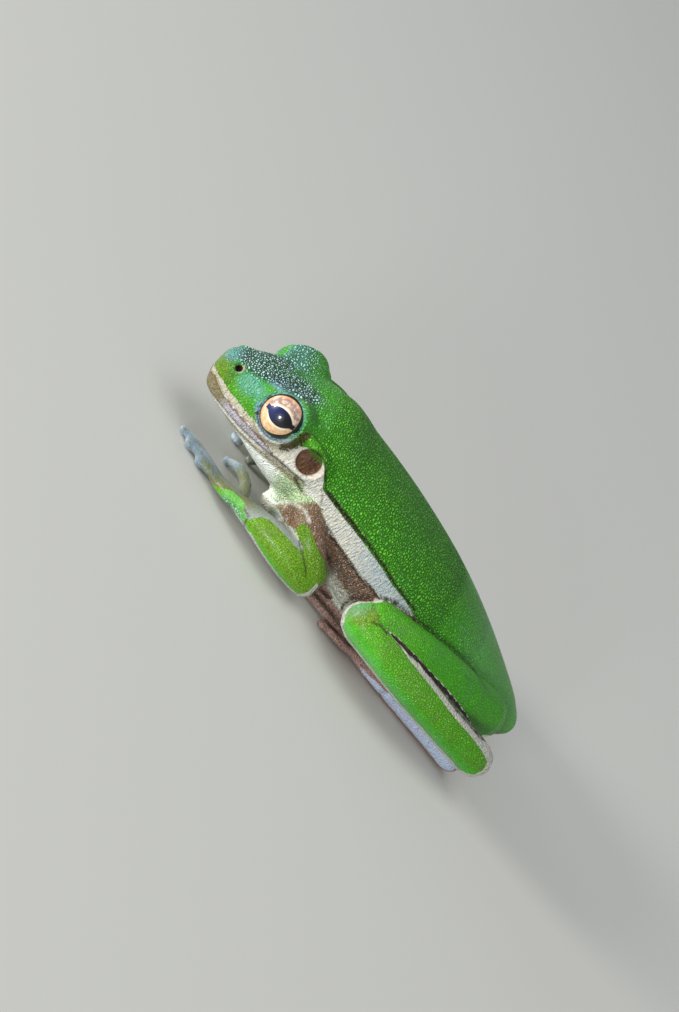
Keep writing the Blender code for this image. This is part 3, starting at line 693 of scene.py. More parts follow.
@dataclass
class Eye:
    """One eyeball with its clear dome, set in its socket."""

    plan: BodyPlan
    side: Side
    viewpoint: Viewpoint
    turns: int = 64
    rings: int = 26
    back_depth: float = 0.9
    pupil_slope: float = 42.0

    def long_axis(self) -> np.ndarray:
        """The direction of the pupil's front end.

        Returns:
            A unit vector across the gaze.
        """
        right, top, _ = self.viewpoint.axes()
        slope = math.radians(self.pupil_slope)
        seen = -right * math.cos(slope) + top * math.sin(slope)
        gaze = unit(self.plan.eye_gaze)
        flat = unit(seen - seen.dot(gaze) * gaze)
        return np.array([flat[0] * self.side.value, flat[1], flat[2]])

    def build(self, finish: bpy.types.Material) -> bpy.types.Object:
        """Spins the eyeball's profile and stores the iris's own coordinates on it.

        Args:
            finish: the eyes' material.

        Returns:
            The finished eyeball.
        """
        gaze = Vector(self.plan.sided(self.plan.eye_gaze, self.side))
        centre = Vector(self.plan.head_point(self.plan.eye_place, self.side) - self.plan.offset())
        radius = self.plan.eye_radius
        sweep = math.acos(-self.back_depth / radius)
        turn = gaze.to_track_quat("Z", "Y").to_matrix()
        builder = bmesh.new()
        verts = []
        for step in range(self.rings + 1):
            angle = sweep * step / self.rings
            verts.append(builder.verts.new(
                centre + turn @ Vector((radius * math.sin(angle), 0.0, radius * math.cos(angle)))))
        verts.append(builder.verts.new(centre + turn @ Vector((0.0, 0.0, -self.back_depth))))
        edges = [builder.edges.new(pair) for pair in zip(verts, verts[1:])]
        bmesh.ops.spin(builder, geom=verts + edges, cent=centre, axis=gaze, angle=2 * math.pi,
                       steps=self.turns, use_merge=True)
        bmesh.ops.remove_doubles(builder, verts=builder.verts, dist=1e-4)
        bmesh.ops.recalc_face_normals(builder, faces=builder.faces)
        mesh = bpy.data.meshes.new(f"eyeball_{self.side.label}")
        builder.to_mesh(mesh)
        builder.free()
        points = read_points(mesh) - np.array(centre)
        long_axis = self.long_axis()
        high_axis = np.cross(np.array(gaze), long_axis) * -self.side.value
        if high_axis[2] < 0:
            high_axis = -high_axis
        store(mesh, "along", points @ long_axis)
        store(mesh, "above", points @ high_axis)
        mesh.transform(Matrix.Scale(MM, 4))
        mesh.shade_smooth()
        made = bpy.data.objects.new(mesh.name, mesh)
        bpy.context.scene.collection.objects.link(made)
        made.data.materials.append(finish)
        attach(made, "root")
        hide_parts(f"eye_{self.side.label}")
        return made


def read_points(mesh: bpy.types.Mesh) -> np.ndarray:
    """The mesh's points as rows.

    Args:
        mesh: the mesh to read.

    Returns:
        Rows of x, y, z.
    """
    flat = np.empty(len(mesh.vertices) * 3, np.float32)
    mesh.vertices.foreach_get("co", flat)
    return flat.reshape(-1, 3).astype(float)


def write_points(mesh: bpy.types.Mesh, points: np.ndarray) -> None:
    """Moves the mesh's points."""
    mesh.vertices.foreach_set("co", points.astype(np.float32).ravel())
    mesh.update()


def read_normals(mesh: bpy.types.Mesh) -> np.ndarray:
    """The mesh's smooth normals as rows.

    Args:
        mesh: the mesh to read.

    Returns:
        Rows of x, y, z.
    """
    flat = np.empty(len(mesh.vertices) * 3, np.float32)
    mesh.vertex_normals.foreach_get("vector", flat)
    return flat.reshape(-1, 3).astype(float)


def store(mesh: bpy.types.Mesh, name: str, values: np.ndarray) -> None:
    """Keeps a number for each point of the mesh."""
    made = mesh.attributes.get(name) or mesh.attributes.new(name, "FLOAT", "POINT")
    made.data.foreach_set("value", values.astype(np.float32))


class Links:
    """Which points of a mesh are neighbours, for smoothing."""

    def __init__(self, mesh: bpy.types.Mesh) -> None:
        """Reads the mesh's edges.

        Args:
            mesh: the mesh whose edges are read.
        """
        flat = np.empty(len(mesh.edges) * 2, np.int32)
        mesh.edges.foreach_get("vertices", flat)
        pairs = flat.reshape(-1, 2)
        self.first, self.second = pairs[:, 0], pairs[:, 1]
        self.count = len(mesh.vertices)
        degree = np.bincount(flat, minlength=self.count)
        self.degree = np.maximum(degree, 1).astype(float)

    def average(self, values: np.ndarray) -> np.ndarray:
        """The mean of each point's neighbours."""
        if values.ndim == 1:
            total = np.bincount(self.first, values[self.second], self.count)
            total += np.bincount(self.second, values[self.first], self.count)
            return total / self.degree
        return np.stack([self.average(values[:, i]) for i in range(values.shape[1])], axis=1)

    def relax(self, points: np.ndarray, rounds: int, weight: np.ndarray, keep: bool = True) -> np.ndarray:
        """Smooths points, and with keep set holds their volume.

        Args:
            points: rows of points, or one number for each.
            rounds: how many times.
            weight: how strongly each point moves, from 0 to 1.
            keep: whether the volume is held.

        Returns:
            The smoothed points.
        """
        share = weight if points.ndim == 1 else weight[:, None]
        for _ in range(rounds):
            points = points + 0.5 * share * (self.average(points) - points)
            if keep:
                points = points - 0.52 * share * (self.average(points) - points)
        return points


FLESH = ("torso", "head", "jaw") + tuple(
    f"{part}_{side.label}" for side in Side
    for part in ("tympanum", "upper_arm", "forearm", "hand", "thigh", "shank", "tarsus", "foot"))


class NodeShape:
    """One CAD node as a closed shape in millimetres."""

    def __init__(self, name: str) -> None:
        """Copies the node's loose triangles and merges them.

        Args:
            name: the CAD node's name.
        """
        self.name = name
        self.builder = bmesh.new()
        self.builder.from_mesh(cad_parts[name].data)
        bmesh.ops.scale(self.builder, vec=(1 / MM,) * 3, verts=self.builder.verts)
        bmesh.ops.remove_doubles(self.builder, verts=self.builder.verts, dist=1e-3)
        self.builder.normal_update()
        self.tree = BVHTree.FromBMesh(self.builder)
        low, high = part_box(name)
        self.low, self.high = np.array(low) / MM, np.array(high) / MM

    def swell(self, amount: float, target: bmesh.types.BMesh) -> None:
        """Adds the node to a larger mesh, grown along its normals.

        Args:
            amount: how far, in millimetres.
            target: the larger mesh.
        """
        grown = self.builder.copy()
        grown.normal_update()
        for vert in grown.verts:
            vert.co += vert.normal * amount
        mesh = bpy.data.meshes.new("grown")
        grown.to_mesh(mesh)
        grown.free()
        target.from_mesh(mesh)
        bpy.data.meshes.remove(mesh)

    def distance(self, points: np.ndarray, reach: float = 1.6) -> np.ndarray:
        """How far points are from the node's surface, up to a reach.

        Args:
            points: rows in millimetres of the shared frame.
            reach: the most that is measured.

        Returns:
            One distance for each point.
        """
        result = np.full(len(points), reach)
        near = np.all((points > self.low - reach) & (points < self.high + reach), axis=1)
        for index in np.nonzero(near)[0]:
            hit = self.tree.find_nearest(points[index], reach)
            if hit[0] is not None:
                result[index] = hit[3]
        return result


@dataclass
class SkinForm:
    """The shape of the skin: all flesh under one closed surface, with its folds and openings."""

    plan: BodyPlan
    voxel: float = 0.285
    swell: float = 0.18
    socket_fill: float = 2.34
    groove_depth: float = 0.26
    nodes: Dict[str, NodeShape] = field(default_factory=dict)
    near: Dict[str, np.ndarray] = field(default_factory=dict)
    nostrils: Dict[Side, Tuple[np.ndarray, np.ndarray]] = field(default_factory=dict)

    def build(self) -> bpy.types.Mesh:
        """Makes the skin's mesh in millimetres of the shared frame.

        Returns:
            The shaped mesh, not yet painted.
        """
        self.nodes = {name: NodeShape(name) for name in FLESH}
        mesh = self.wrap()
        log.info("wrapped with %d faces", len(mesh.polygons))
        mesh = self.refine(mesh, lambda points: self.wants_detail(points, 1))
        log.info("refined once to %d faces", len(mesh.polygons))
        mesh = self.refine(mesh, lambda points: self.wants_detail(points, 2))
        self.measure(mesh)
        self.soften(mesh, 3, self.detail_weight(mesh))
        self.carve(mesh)
        log.info("skin has %d points and %d faces", len(mesh.vertices), len(mesh.polygons))
        return mesh

    def wrap(self) -> bpy.types.Mesh:
        """Joins the swollen nodes, closes them into one surface and draws it back.

        Returns:
            The closed surface, smoothed where two nodes are one piece of flesh.
        """
        joined = bmesh.new()
        for shape in self.nodes.values():
            shape.swell(self.swell, joined)
        for side in Side:
            centre = Vector(self.plan.head_point(self.plan.eye_place, side) - self.plan.offset())
            bmesh.ops.create_uvsphere(
                joined, u_segments=40, v_segments=24, radius=self.socket_fill + self.swell,
                matrix=Matrix.Translation(centre))
            shift = np.array(self.plan.right_arm_shift) if side is Side.RIGHT else np.zeros(3)
            for middle, radius in self.plan.chest_lobes:
                centre = (np.array(middle) + shift) * np.array([side.value, 1.0, 1.0]) - self.plan.offset()
                bmesh.ops.create_uvsphere(
                    joined, u_segments=24, v_segments=16, radius=radius + self.swell,
                    matrix=Matrix.Translation(Vector(centre)))
        mesh = bpy.data.meshes.new("flesh")
        joined.to_mesh(mesh)
        joined.free()
        holder = bpy.data.objects.new("flesh", mesh)
        bpy.context.scene.collection.objects.link(holder)
        close = holder.modifiers.new("close", "REMESH")
        close.mode = "VOXEL"
        close.voxel_size = self.voxel
        bpy.context.view_layer.update()
        graph = bpy.context.evaluated_depsgraph_get()
        skin = bpy.data.meshes.new_from_object(holder.evaluated_get(graph))
        bpy.data.objects.remove(holder)
        skin.name = "skin"
        self.measure(skin)
        self.soften(skin, 3, np.ones(len(skin.vertices)))
        write_points(skin, read_points(skin) - self.swell * read_normals(skin))
        self.soften(skin, 12, self.joint_weight(read_points(skin)))
        return skin

    def measure(self, mesh: bpy.types.Mesh) -> None:
        """Finds how far each point is from each node."""
        points = read_points(mesh)
        self.near = {name: shape.distance(points) for name, shape in self.nodes.items()}

    def joint_weight(self, points: np.ndarray) -> np.ndarray:
        """Where two nodes are one piece of flesh and no crease shows.

        Args:
            points: rows in millimetres of the shared frame.

        Returns:
            A weight from 0 to 1 for each.
        """
        joints = [("head", "torso"), ("jaw", "torso")]
        for side in Side:
            joints += [(f"{a}_{side.label}", f"{b}_{side.label}") for a, b in (
                ("forearm", "hand"), ("tarsus", "foot"))]
        weight = np.zeros(len(self.near["head"]))
        for first, second in joints:
            apart = np.maximum(self.near[first], self.near[second])
            weight = np.maximum(weight, smooth_rise(1.3, 0.5, apart))
        rear = smooth_rise(17.0, 20.0, (points + self.plan.offset())[:, 1])
        for side in Side:
            apart = np.maximum(self.near["torso"], self.near[f"thigh_{side.label}"])
            weight = np.maximum(weight, smooth_rise(1.6, 0.8, apart) * rear)
        return weight

    def soften(self, mesh: bpy.types.Mesh, rounds: int, weight: np.ndarray) -> None:
        """Smooths the mesh by a weight for each point."""
        write_points(mesh, Links(mesh).relax(read_points(mesh), rounds, weight))

    def wants_detail(self, points: np.ndarray, level: int) -> np.ndarray:
        """Which points lie in areas of fine form, for the first or second refinement.

        Args:
            points: rows in millimetres of the shared frame.
            level: 1 or 2.

        Returns:
            True where the mesh is refined.
        """
        body = points + self.plan.offset()
        ahead, rise = self.plan.head_places(body)[0], self.plan.above_mouth(body)
        chosen = (np.abs(rise) < (0.6 if level == 1 else 0.28)) & (ahead > -1.2)
        chosen &= (np.abs(body[:, 0]) < 9.2) & (body[:, 2] > 1.5)
        for side in Side:
            middle = self.plan.head_point(self.plan.eye_place, side)
            eye = np.linalg.norm(body - middle, axis=1)
            facing = (body - middle) @ self.plan.sided(self.plan.eye_gaze, side)
            if level == 1:
                chosen |= (eye < 3.7) & (facing > -0.2)
                ear = np.linalg.norm(body - self.plan.head_point(self.plan.ear_place, side), axis=1)
                chosen |= ear < 2.3
            else:
                chosen |= (eye < 3.0) & (eye > 2.45) & (facing > 0.3)
            nose = np.linalg.norm(body - self.plan.head_point(self.plan.nostril_place, side), axis=1)
            chosen |= nose < (1.6 if level == 1 else 0.9)
        return chosen

    def refine(self, mesh: bpy.types.Mesh, choose: Callable[[np.ndarray], np.ndarray]) -> bpy.types.Mesh:
        """Divides the faces in chosen areas.

        Args:
            mesh: the mesh to divide.
            choose: tells which points are in such an area.

        Returns:
            The same mesh.
        """
        chosen = choose(read_points(mesh))
        builder = bmesh.new()
        builder.from_mesh(mesh)
        builder.verts.ensure_lookup_table()
        edges = [e for e in builder.edges if chosen[e.verts[0].index] and chosen[e.verts[1].index]]
        bmesh.ops.subdivide_edges(builder, edges=edges, cuts=1, use_grid_fill=True)
        bmesh.ops.triangulate(builder, faces=[f for f in builder.faces if len(f.verts) > 4])
        builder.to_mesh(mesh)
        builder.free()
        return mesh

    def detail_weight(self, mesh: bpy.types.Mesh) -> np.ndarray:
        """Where new points of the refined areas still need rounding."""
        return np.where(self.wants_detail(read_points(mesh), 1), 1.0, 0.0)

    def around_eye(self, body: np.ndarray, side: Side) -> Tuple[np.ndarray, np.ndarray]:
        """How far points of the frog lie along the eye's gaze, and how far out from it."""
        centre = self.plan.head_point(self.plan.eye_place, side)
        return about_axis(body, centre, self.plan.sided(self.plan.eye_gaze, side))

    def around_ear(self, body: np.ndarray, side: Side) -> Tuple[np.ndarray, np.ndarray]:
        """How far points of the frog lie along the eardrum's axis, and how far out from it."""
        centre = self.plan.head_point(self.plan.ear_place, side)
        return about_axis(body, centre, self.plan.sided(self.plan.ear_axis, side))

    def around_nostril(self, body: np.ndarray, side: Side) -> np.ndarray:
        """How far points of the frog lie from the nostril's middle, measured over the skin."""
        out, flat = about_axis(body, *self.nostrils[side])
        return np.where(np.abs(out) < 1.3, flat, 9.0)

    def carve(self, mesh: bpy.types.Mesh) -> None:
        """Presses in the mouth line, nostrils and eardrums, and raises lips, rims and lids.

        Args:
            mesh: the mesh to shape.
        """
        points, normals = read_points(mesh), read_normals(mesh)
        body = points + self.plan.offset()
        ahead, rise = self.plan.head_places(body)[0], self.plan.above_mouth(body)
        head = np.minimum(self.near["head"], self.near["jaw"]) < 0.8
        along = smooth_rise(-0.9, -0.2, ahead) * head
        move = -self.groove_depth * bell(rise, 0.13) * along
        move += 0.10 * bell(rise - 0.4, 0.26) * along
        move += 0.07 * bell(rise + 0.36, 0.22) * along
        for side in Side:
            nearest = np.argmin(np.linalg.norm(
                body - self.plan.head_point(self.plan.nostril_place, side), axis=1))
            self.nostrils[side] = (body[nearest], normals[nearest])
            pit = self.around_nostril(body, side)
            move += -0.6 * bell(pit, 0.34) + 0.12 * bell(pit - 0.7, 0.2)
            out, flat = self.around_ear(body, side)
            here = smooth_rise(1.6, 1.0, np.abs(out))
            move += here * (-0.16 * smooth_rise(1.5, 1.3, flat) + 0.14 * bell(flat - 1.68, 0.2))
            forward, spoke = self.around_eye(body, side)
            move += 0.04 * bell(spoke - 2.85, 0.25) * smooth_rise(0.2, 0.8, forward)
            move -= 0.12 * bell(spoke - 3.55, 0.25) * smooth_rise(0.0, 0.6, forward)
        points = points + move[:, None] * normals
        points[:, 2] = np.maximum(points[:, 2], 0.0)
        write_points(mesh, points)


class Marking(Enum):
    """Traced edges of the skin's markings, as the frog's left side shows them."""

    TRUNK_GREEN = Trace(
        ((196, 350), (212.6, 361), (216, 369.8), (219.4, 375.5), (224, 381.8), (228.6, 389.9),
         (234.9, 397.3), (241.3, 405.4), (248.1, 414.6), (255, 421), (262, 430), (270, 439),
         (280, 443), (288, 441.5), (294.6, 446.5), (302.3, 446.2), (307.4, 447.5), (311.2, 450),
         (320.8, 457), (322.7, 460.3), (324, 466.6), (324.3, 474.3), (324, 480.7), (322.5, 489.4),
         (330.5, 500), (338.4, 510.8), (353.6, 530), (368, 548.8), (380.4, 565.7), (392, 584.5),
         (403.6, 598.8), (417, 619.3), (440, 650), (470, 690), (500, 735), (530, 800)),
        ((760, 800), (760, 150), (196, 150)))
    TRUNK_CREAM = Trace(
        ((196, 360), (216.3, 373.8), (218.9, 383), (222.9, 391.6), (229.5, 400.6), (239, 412.5),
         (250, 424.4), (259, 435), (265, 441), (271, 448.5), (276, 456.5), (283, 464), (289, 469.5),
         (296, 476), (301, 488), (317.9, 512.1), (329.5, 530), (340.2, 546), (350, 560.4),
         (360.7, 576.4), (371.4, 586.3), (382.1, 598.8), (398, 608), (417, 617), (440, 645),
         (470, 682), (500, 730), (530, 790)),
        ((760, 800), (760, 150), (196, 150)))
    UPPER_LINE = Trace(
        ((325.2, 462), (325.8, 481), (325, 488.4), (332.6, 498.6), (341, 509.2), (356.2, 528.4),
         (370.6, 547.2), (382.8, 564.2), (393.9, 583.2), (405.4, 597.8), (414, 610)))
    LOWER_LINE = Trace(
        ((295, 478), (300, 488.4), (317, 513), (328.5, 531), (339, 547), (349, 561), (359.6, 577),
         (370.4, 587.3), (381, 599.5)))
    STRIPE_FOLD = Trace(((322, 490), (322.4, 498), (320, 506), (317.6, 512)))
    FOREARM_GREEN = Trace(
        ((205, 478), (216, 486), (222, 488.5), (230, 489.5), (237, 494.5), (243, 500), (247, 507),
         (248.5, 514), (252, 518.3), (262, 517), (270, 520), (277, 526.5), (285, 534.5),
         (293, 543.5), (300, 551)),
        ((330, 551), (330, 610), (280, 620), (190, 520)))
    ARM_GREEN = Trace(
        ((293, 543.5), (294.5, 535), (297.5, 526.5), (302, 523.3), (307, 525.5), (312, 533),
         (316, 545), (324, 560)),
        ((335, 600), (290, 620), (285, 551), (290, 549)))
    WRIST_FOLD = Trace(((245, 509), (249, 516.5), (245.5, 521), (243.5, 527)))
    ELBOW_RIM = Trace(((250, 533), (260, 551), (270, 565.5), (280, 580), (290, 591), (297, 596),
                       (304, 595.5), (310, 593), (317, 585.5)))
    ARM_FOLD = Trace(((299, 541), (303, 556), (305.5, 568), (305.5, 577)))
    KNEE_RIM = Trace(((342, 624), (343.5, 615), (346.3, 609), (353, 603), (362, 601), (372, 600.5),
                      (382, 600)))
    KNEE_LINE = Trace(((338.5, 624), (340, 613), (343.5, 604.5), (351, 599), (361, 597), (373, 596.5),
                       (385, 597.5), (398, 603)))
    KNEE_CLEFT = Trace(((372, 622), (378, 624.5), (383.5, 628.5), (387, 632)))
    THIGH_LINE = Trace(((383, 599), (400, 608), (416, 619), (436, 635), (455, 650), (468, 663),
                        (481, 680), (490, 694), (494, 704)))
    HEEL_RIM = Trace(((445, 761), (455, 769.5), (465, 775), (475, 777), (485, 771.5), (490, 762)))
    SMUDGE = Trace(((284, 447), (291, 445.5), (298, 442), (306, 436)))
    CHEST_FOLD = Trace(((266, 492), (277, 501), (293, 503), (305, 510), (310, 522)))
    THIGH_GREEN = Trace(
        ((530, 800), (478, 733), (470, 718), (460, 703), (450, 691), (440, 680), (430, 669),
         (420, 658), (410, 648), (400, 638), (390, 630), (380, 626), (372, 623)),
        ((330, 640), (320, 560), (600, 560), (600, 800)))
    SHANK_GREEN = Trace(
        ((372, 623), (383, 629), (390, 634), (400, 645), (408, 658), (416, 668), (424, 678),
         (432, 688), (440, 698), (450, 712), (460, 724), (470, 735), (480, 748), (486, 758),
         (488, 767)),
        ((488, 800), (300, 800), (300, 560), (360, 560)))


@dataclass(frozen=True)
class Spot:
    """A soft oval patch of one tint, by its place in the picture."""

    kind: str
    centre: Pixel
    radii: Pixel
    turn: float
    amount: float
    near_only: bool = False

    def mask(self, pixels: np.ndarray) -> np.ndarray:
        """How strongly the patch shows at each pixel.

        Args:
            pixels: rows of columns and rows.

        Returns:
            The patch's strength, one for each pixel.
        """
        apart = pixels - np.array(self.centre)
        turn = math.radians(self.turn)
        along = apart @ np.array([math.cos(turn), math.sin(turn)]) / self.radii[0]
        across = apart @ np.array([-math.sin(turn), math.cos(turn)]) / self.radii[1]
        return self.amount * smooth_rise(1.35, 0.55, np.hypot(along, across))


# Spots of the blue kind are painted sky reflection, the glint spots are painted glints, and the one
# darkening spot is painted shade on the snout; the lime, mint and line spots are tints and a dark mark.
HEAD_SPOTS = (
    Spot("blue", (238.0, 353.0), (17.0, 8.0), 0.0, 0.75),
    Spot("blue", (284.0, 386.0), (19.0, 7.0), 28.0, 0.75, True),
    Spot("blue", (284.0, 386.0), (16.0, 7.0), 28.0, 0.25),
    Spot("blue", (250.0, 384.0), (15.0, 11.0), 40.0, 0.55),
    Spot("blue", (262.0, 400.0), (8.0, 12.0), 20.0, 0.35),
    Spot("frost", (262.0, 366.0), (27.0, 13.0), 30.0, 0.95),
    Spot("frost", (300.0, 388.0), (26.0, 11.0), 32.0, 0.7, True),
    Spot("frost", (320.0, 412.0), (22.0, 16.0), 50.0, 0.25, True),
    Spot("lime", (221.0, 366.0), (8.0, 15.0), 10.0, 0.4),
    Spot("frost", (290.0, 386.0), (20.0, 12.0), 30.0, 0.3),
    Spot("shade", (226.0, 372.0), (14.0, 18.0), 20.0, 0.8),
    Spot("blue", (257.0, 406.0), (2.0, 5.0), 20.0, 0.8),
    Spot("line", (256.5, 413.0), (2.4, 2.0), 0.0, 0.9),
    Spot("mint", (246.0, 388.0), (16.0, 14.0), 40.0, 0.5))


@dataclass(frozen=True)
class Oval:
    """An oval place in the side view, in pixels of the photograph."""

    centre: Pixel
    radii: Pixel = (1.0, 1.0)

    def distance(self, pixels: np.ndarray) -> np.ndarray:
        """How far each pixel is from the centre, in radii."""
        return np.linalg.norm((pixels - np.array(self.centre)) / np.array(self.radii), axis=1)


CHEST_CROOK = Oval((287.0, 518.0), (11.0, 14.0))
ARM_CROOK = Oval((289.0, 519.0), (11.0, 14.0))
WRIST = Oval((233.0, 506.0), (15.0, 20.0))
KNEE_CAP = Oval((354.0, 606.0), (17.0, 11.0))
KNEE_FLAT = Oval((361.0, 617.0), (19.0, 9.0))
JAW_CORNER = Oval((292.0, 488.0))


@dataclass
class SkinMarks:
    """Works out, for each point of the skin, the numbers that its material paints by."""

    NAMES = (
        "green", "cream", "throat", "jaw_tint", "brown", "digit", "rose", "lip", "lip_light", "lip_height",
        "lip_front", "chin", "chin_line", "band", "gap", "shade", "lime", "mint", "frost", "blue", "fine",
        "ragged", "ear", "ear_corner", "line", "crease", "lid", "lid_low", "lid_front", "pit", "pit_rim",
        "smudge", "edge", "olive", "rear")
    PRESSED = (
        ("torso", "thigh"), ("thigh", "shank"), ("torso", "shank"), ("thigh", "tarsus"),
        ("shank", "tarsus"))

    plan: BodyPlan
    viewpoint: Viewpoint
    form: SkinForm
    values: Dict[str, np.ndarray] = field(default_factory=dict)

    def weights(self) -> Dict[str, np.ndarray]:
        """How much each point belongs to each part of the frog, summed to 1.

        Returns:
            The shares, one array for each part.
        """
        near = self.form.near
        groups = {"trunk": np.minimum.reduce([near[n] for n in ("torso", "head", "jaw")])}
        for part in ("upper_arm", "forearm", "hand", "thigh", "shank", "tarsus", "foot"):
            for side in Side:
                groups[f"{part}_{side.label}"] = near[f"{part}_{side.label}"]
        least = np.minimum.reduce(list(groups.values()))
        raw = {name: np.exp(-(apart - least) / 0.07) for name, apart in groups.items()}
        total = sum(raw.values())
        return {name: value / total for name, value in raw.items()}

    def paint(self, mesh: bpy.types.Mesh) -> None:
        """Stores all numbers on the mesh.

        Args:
            mesh: the skin's mesh, in millimetres.
        """
        self.form.measure(mesh)
        points, normals = read_points(mesh), read_normals(mesh)
        body = points + self.plan.offset()
        self.values = {name: np.zeros(len(points)) for name in self.NAMES}
        self.values["ear"][:] = 9.0
        share = self.weights()
        self.trunk(body, normals, share["trunk"])
        for side in Side:
            self.limbs(body, normals, share, side)
        self.creases(body)
        for name, value in self.values.items():
            store(mesh, name, value)

    def folded(self, body: np.ndarray, side: Side, shift: Point = (0.0, 0.0, 0.0)) -> np.ndarray:
        """Pixels at which points of either side fall once laid over the left side.

        Args:
            body: rows of the frog's plan.
            side: the side they are on.
            shift: how far the right limb lies from a mirrored left one.

        Returns:
            Rows of pixels.
        """
        left = body * np.array([side.value, 1.0, 1.0])
        if side is Side.RIGHT:
            left = left - np.array(shift)
        return self.viewpoint.pixels(left - self.plan.offset())

    def apart(self, marking: Marking, pixels: np.ndarray) -> np.ndarray:
        """How far pixels are from a marking's line, in millimetres."""
        return marking.value.distance(pixels) * self.viewpoint.mm_per_pixel

    def inside(self, marking: Marking, pixels: np.ndarray) -> np.ndarray:
        """How far pixels lie inside a marking's area, in millimetres."""
        return marking.value.signed(pixels) * self.viewpoint.mm_per_pixel

    def raise_to(self, name: str, value: np.ndarray) -> None:
        """Raises a number to a value where it is lower."""
        self.values[name] = np.maximum(self.values[name], value)

    def trunk(self, body: np.ndarray, normals: np.ndarray, share: np.ndarray) -> None:
        """Head, jaw and torso: green over a cream stripe over a brown flank and a pale belly.

        Args:
            body: rows of the frog's plan.
            normals: their normals.
            share: how much they belong to the trunk.
        """
        values = self.values
        mirrored = np.column_stack([np.abs(body[:, 0]), body[:, 1:]])
        pixels = self.viewpoint.pixels(mirrored - self.plan.offset())
        ahead, _ = self.plan.head_places(body)
        lip_rise = self.plan.above_mouth(body)
        green = self.inside(Marking.TRUNK_GREEN, pixels)
        cream = self.inside(Marking.TRUNK_CREAM, pixels)
        under = smooth_rise(-0.15, -0.5, normals[:, 2]) * (body[:, 2] < 8.0)
        green = np.where(under > 0.5, -np.abs(green), green)
        jaw_side = smooth_rise(-0.05, 0.08, -lip_rise) * smooth_rise(-1.4, -0.6, ahead)
        green = green * (1 - jaw_side) - jaw_side
        cream = cream * (1 - jaw_side) - jaw_side
        torso = smooth_rise(-0.6, -1.8, ahead)
        values["green"] += share * green
        values["cream"] += share * cream
        values["throat"] += share * smooth_rise(-2.5, 0.5, ahead)
        tinted = smooth_rise(34.0, 8.0, JAW_CORNER.distance(pixels)) * smooth_rise(0.1, 0.4, -cream)
        values["jaw_tint"] += share * 0.8 * tinted
        flank = smooth_rise(6.0, 0.8, -cream) * torso * smooth_rise(0.0, 0.15, -cream)
        values["brown"] += share * flank * smooth_rise(-0.6, 0.2, normals[:, 2] + 0.5)
        self.lips(ahead, lip_rise, cream, share)

        top = smooth_rise(0.1, 0.9, normals[:, 2])
        back = body[:, 1]
        # The rear of the stripe is drawn in the shaded grey-blue copy of the cream: painted shade.
        values["rear"] += share * smooth_rise(342.0, 384.0, pixels[:, 0])
        values["fine"] += share * 0.5 * np.maximum(
            smooth_rise(-1.0, 2.0, ahead), smooth_rise(6.0, 12.0, back) + smooth_rise(12.0, 19.0, back))
        values["ragged"] += share * smooth_rise(-0.5, 1.5, ahead)
        # Painted shade on the upward-facing middle of the back.
        values["shade"] += share * 0.4 * smooth_rise(2.0, 8.0, back) * top * smooth_rise(16.0, 10.0, back)
        # Paler mint towards the rear: partly the rear's own tone, partly painted light where the lamps fall
        # off.
        values["mint"] += share * 0.7 * smooth_rise(6.0, 16.0, back)
        values["lime"] += share * (
            0.3 * smooth_rise(9.0, 13.5, ahead) + 0.35 * smooth_rise(3.0, 0.6, green) * (1 - torso))
        for spot in HEAD_SPOTS:
            seen = 0.4 + 0.6 * smooth_rise(-1.2, 0.2, body[:, 0]) if spot.near_only else 1.0
            values[spot.kind] += share * spot.mask(pixels) * smooth_rise(-1.5, 0.5, ahead) * seen
        # Painted sky reflection on the upward-facing parts of the head.
        values["blue"] += share * 0.1 * top * smooth_rise(1.0, 4.0, ahead)
        smudge = smooth_rise(8.5, 1.0, Marking.SMUDGE.value.distance(pixels))
        values["smudge"] += share * smudge * smooth_rise(-0.1, 0.2, lip_rise)
        for side in Side:
            self.lid_and_nostril(body, side)
        self.eardrums(body, pixels)
        self.trunk_lines(body, normals, pixels, cream, share)

    def lips(self, ahead: np.ndarray, lip_rise: np.ndarray, cream: np.ndarray, share: np.ndarray) -> None:
        """The upper lip's tints and the lower lip's brown edge and pale line.

        Args:
            ahead: how far points are ahead of the mouth's corner.
            lip_rise: how far they are above the mouth's opening.
            cream: how far they are inside the cream area.
            share: how much they belong to the trunk.
        """
        values = self.values
        lip = smooth_rise(-0.02, 0.08, lip_rise) * smooth_rise(-0.5, 0.1, ahead)
        values["lip"] += share * lip * smooth_rise(0.02, -0.06, cream)
        values["lip_front"] += share * smooth_rise(10.0, 12.0, ahead)
        values["lip_light"] += share * smooth_rise(0.5, 5.0, ahead)
        values["lip_height"] += share * smooth_rise(-0.55, -0.1, cream)
        chin = smooth_rise(-0.02, -0.1, lip_rise) * smooth_rise(-1.0, -0.6, lip_rise)
        values["chin"] += share * chin * smooth_rise(-1.5, 0.5, ahead) * 1.1
        front = smooth_rise(4.0, 6.0, ahead) * smooth_rise(13.0, 11.5, ahead)
        values["chin_line"] += share * bell(lip_rise + 0.22, 0.1) * front

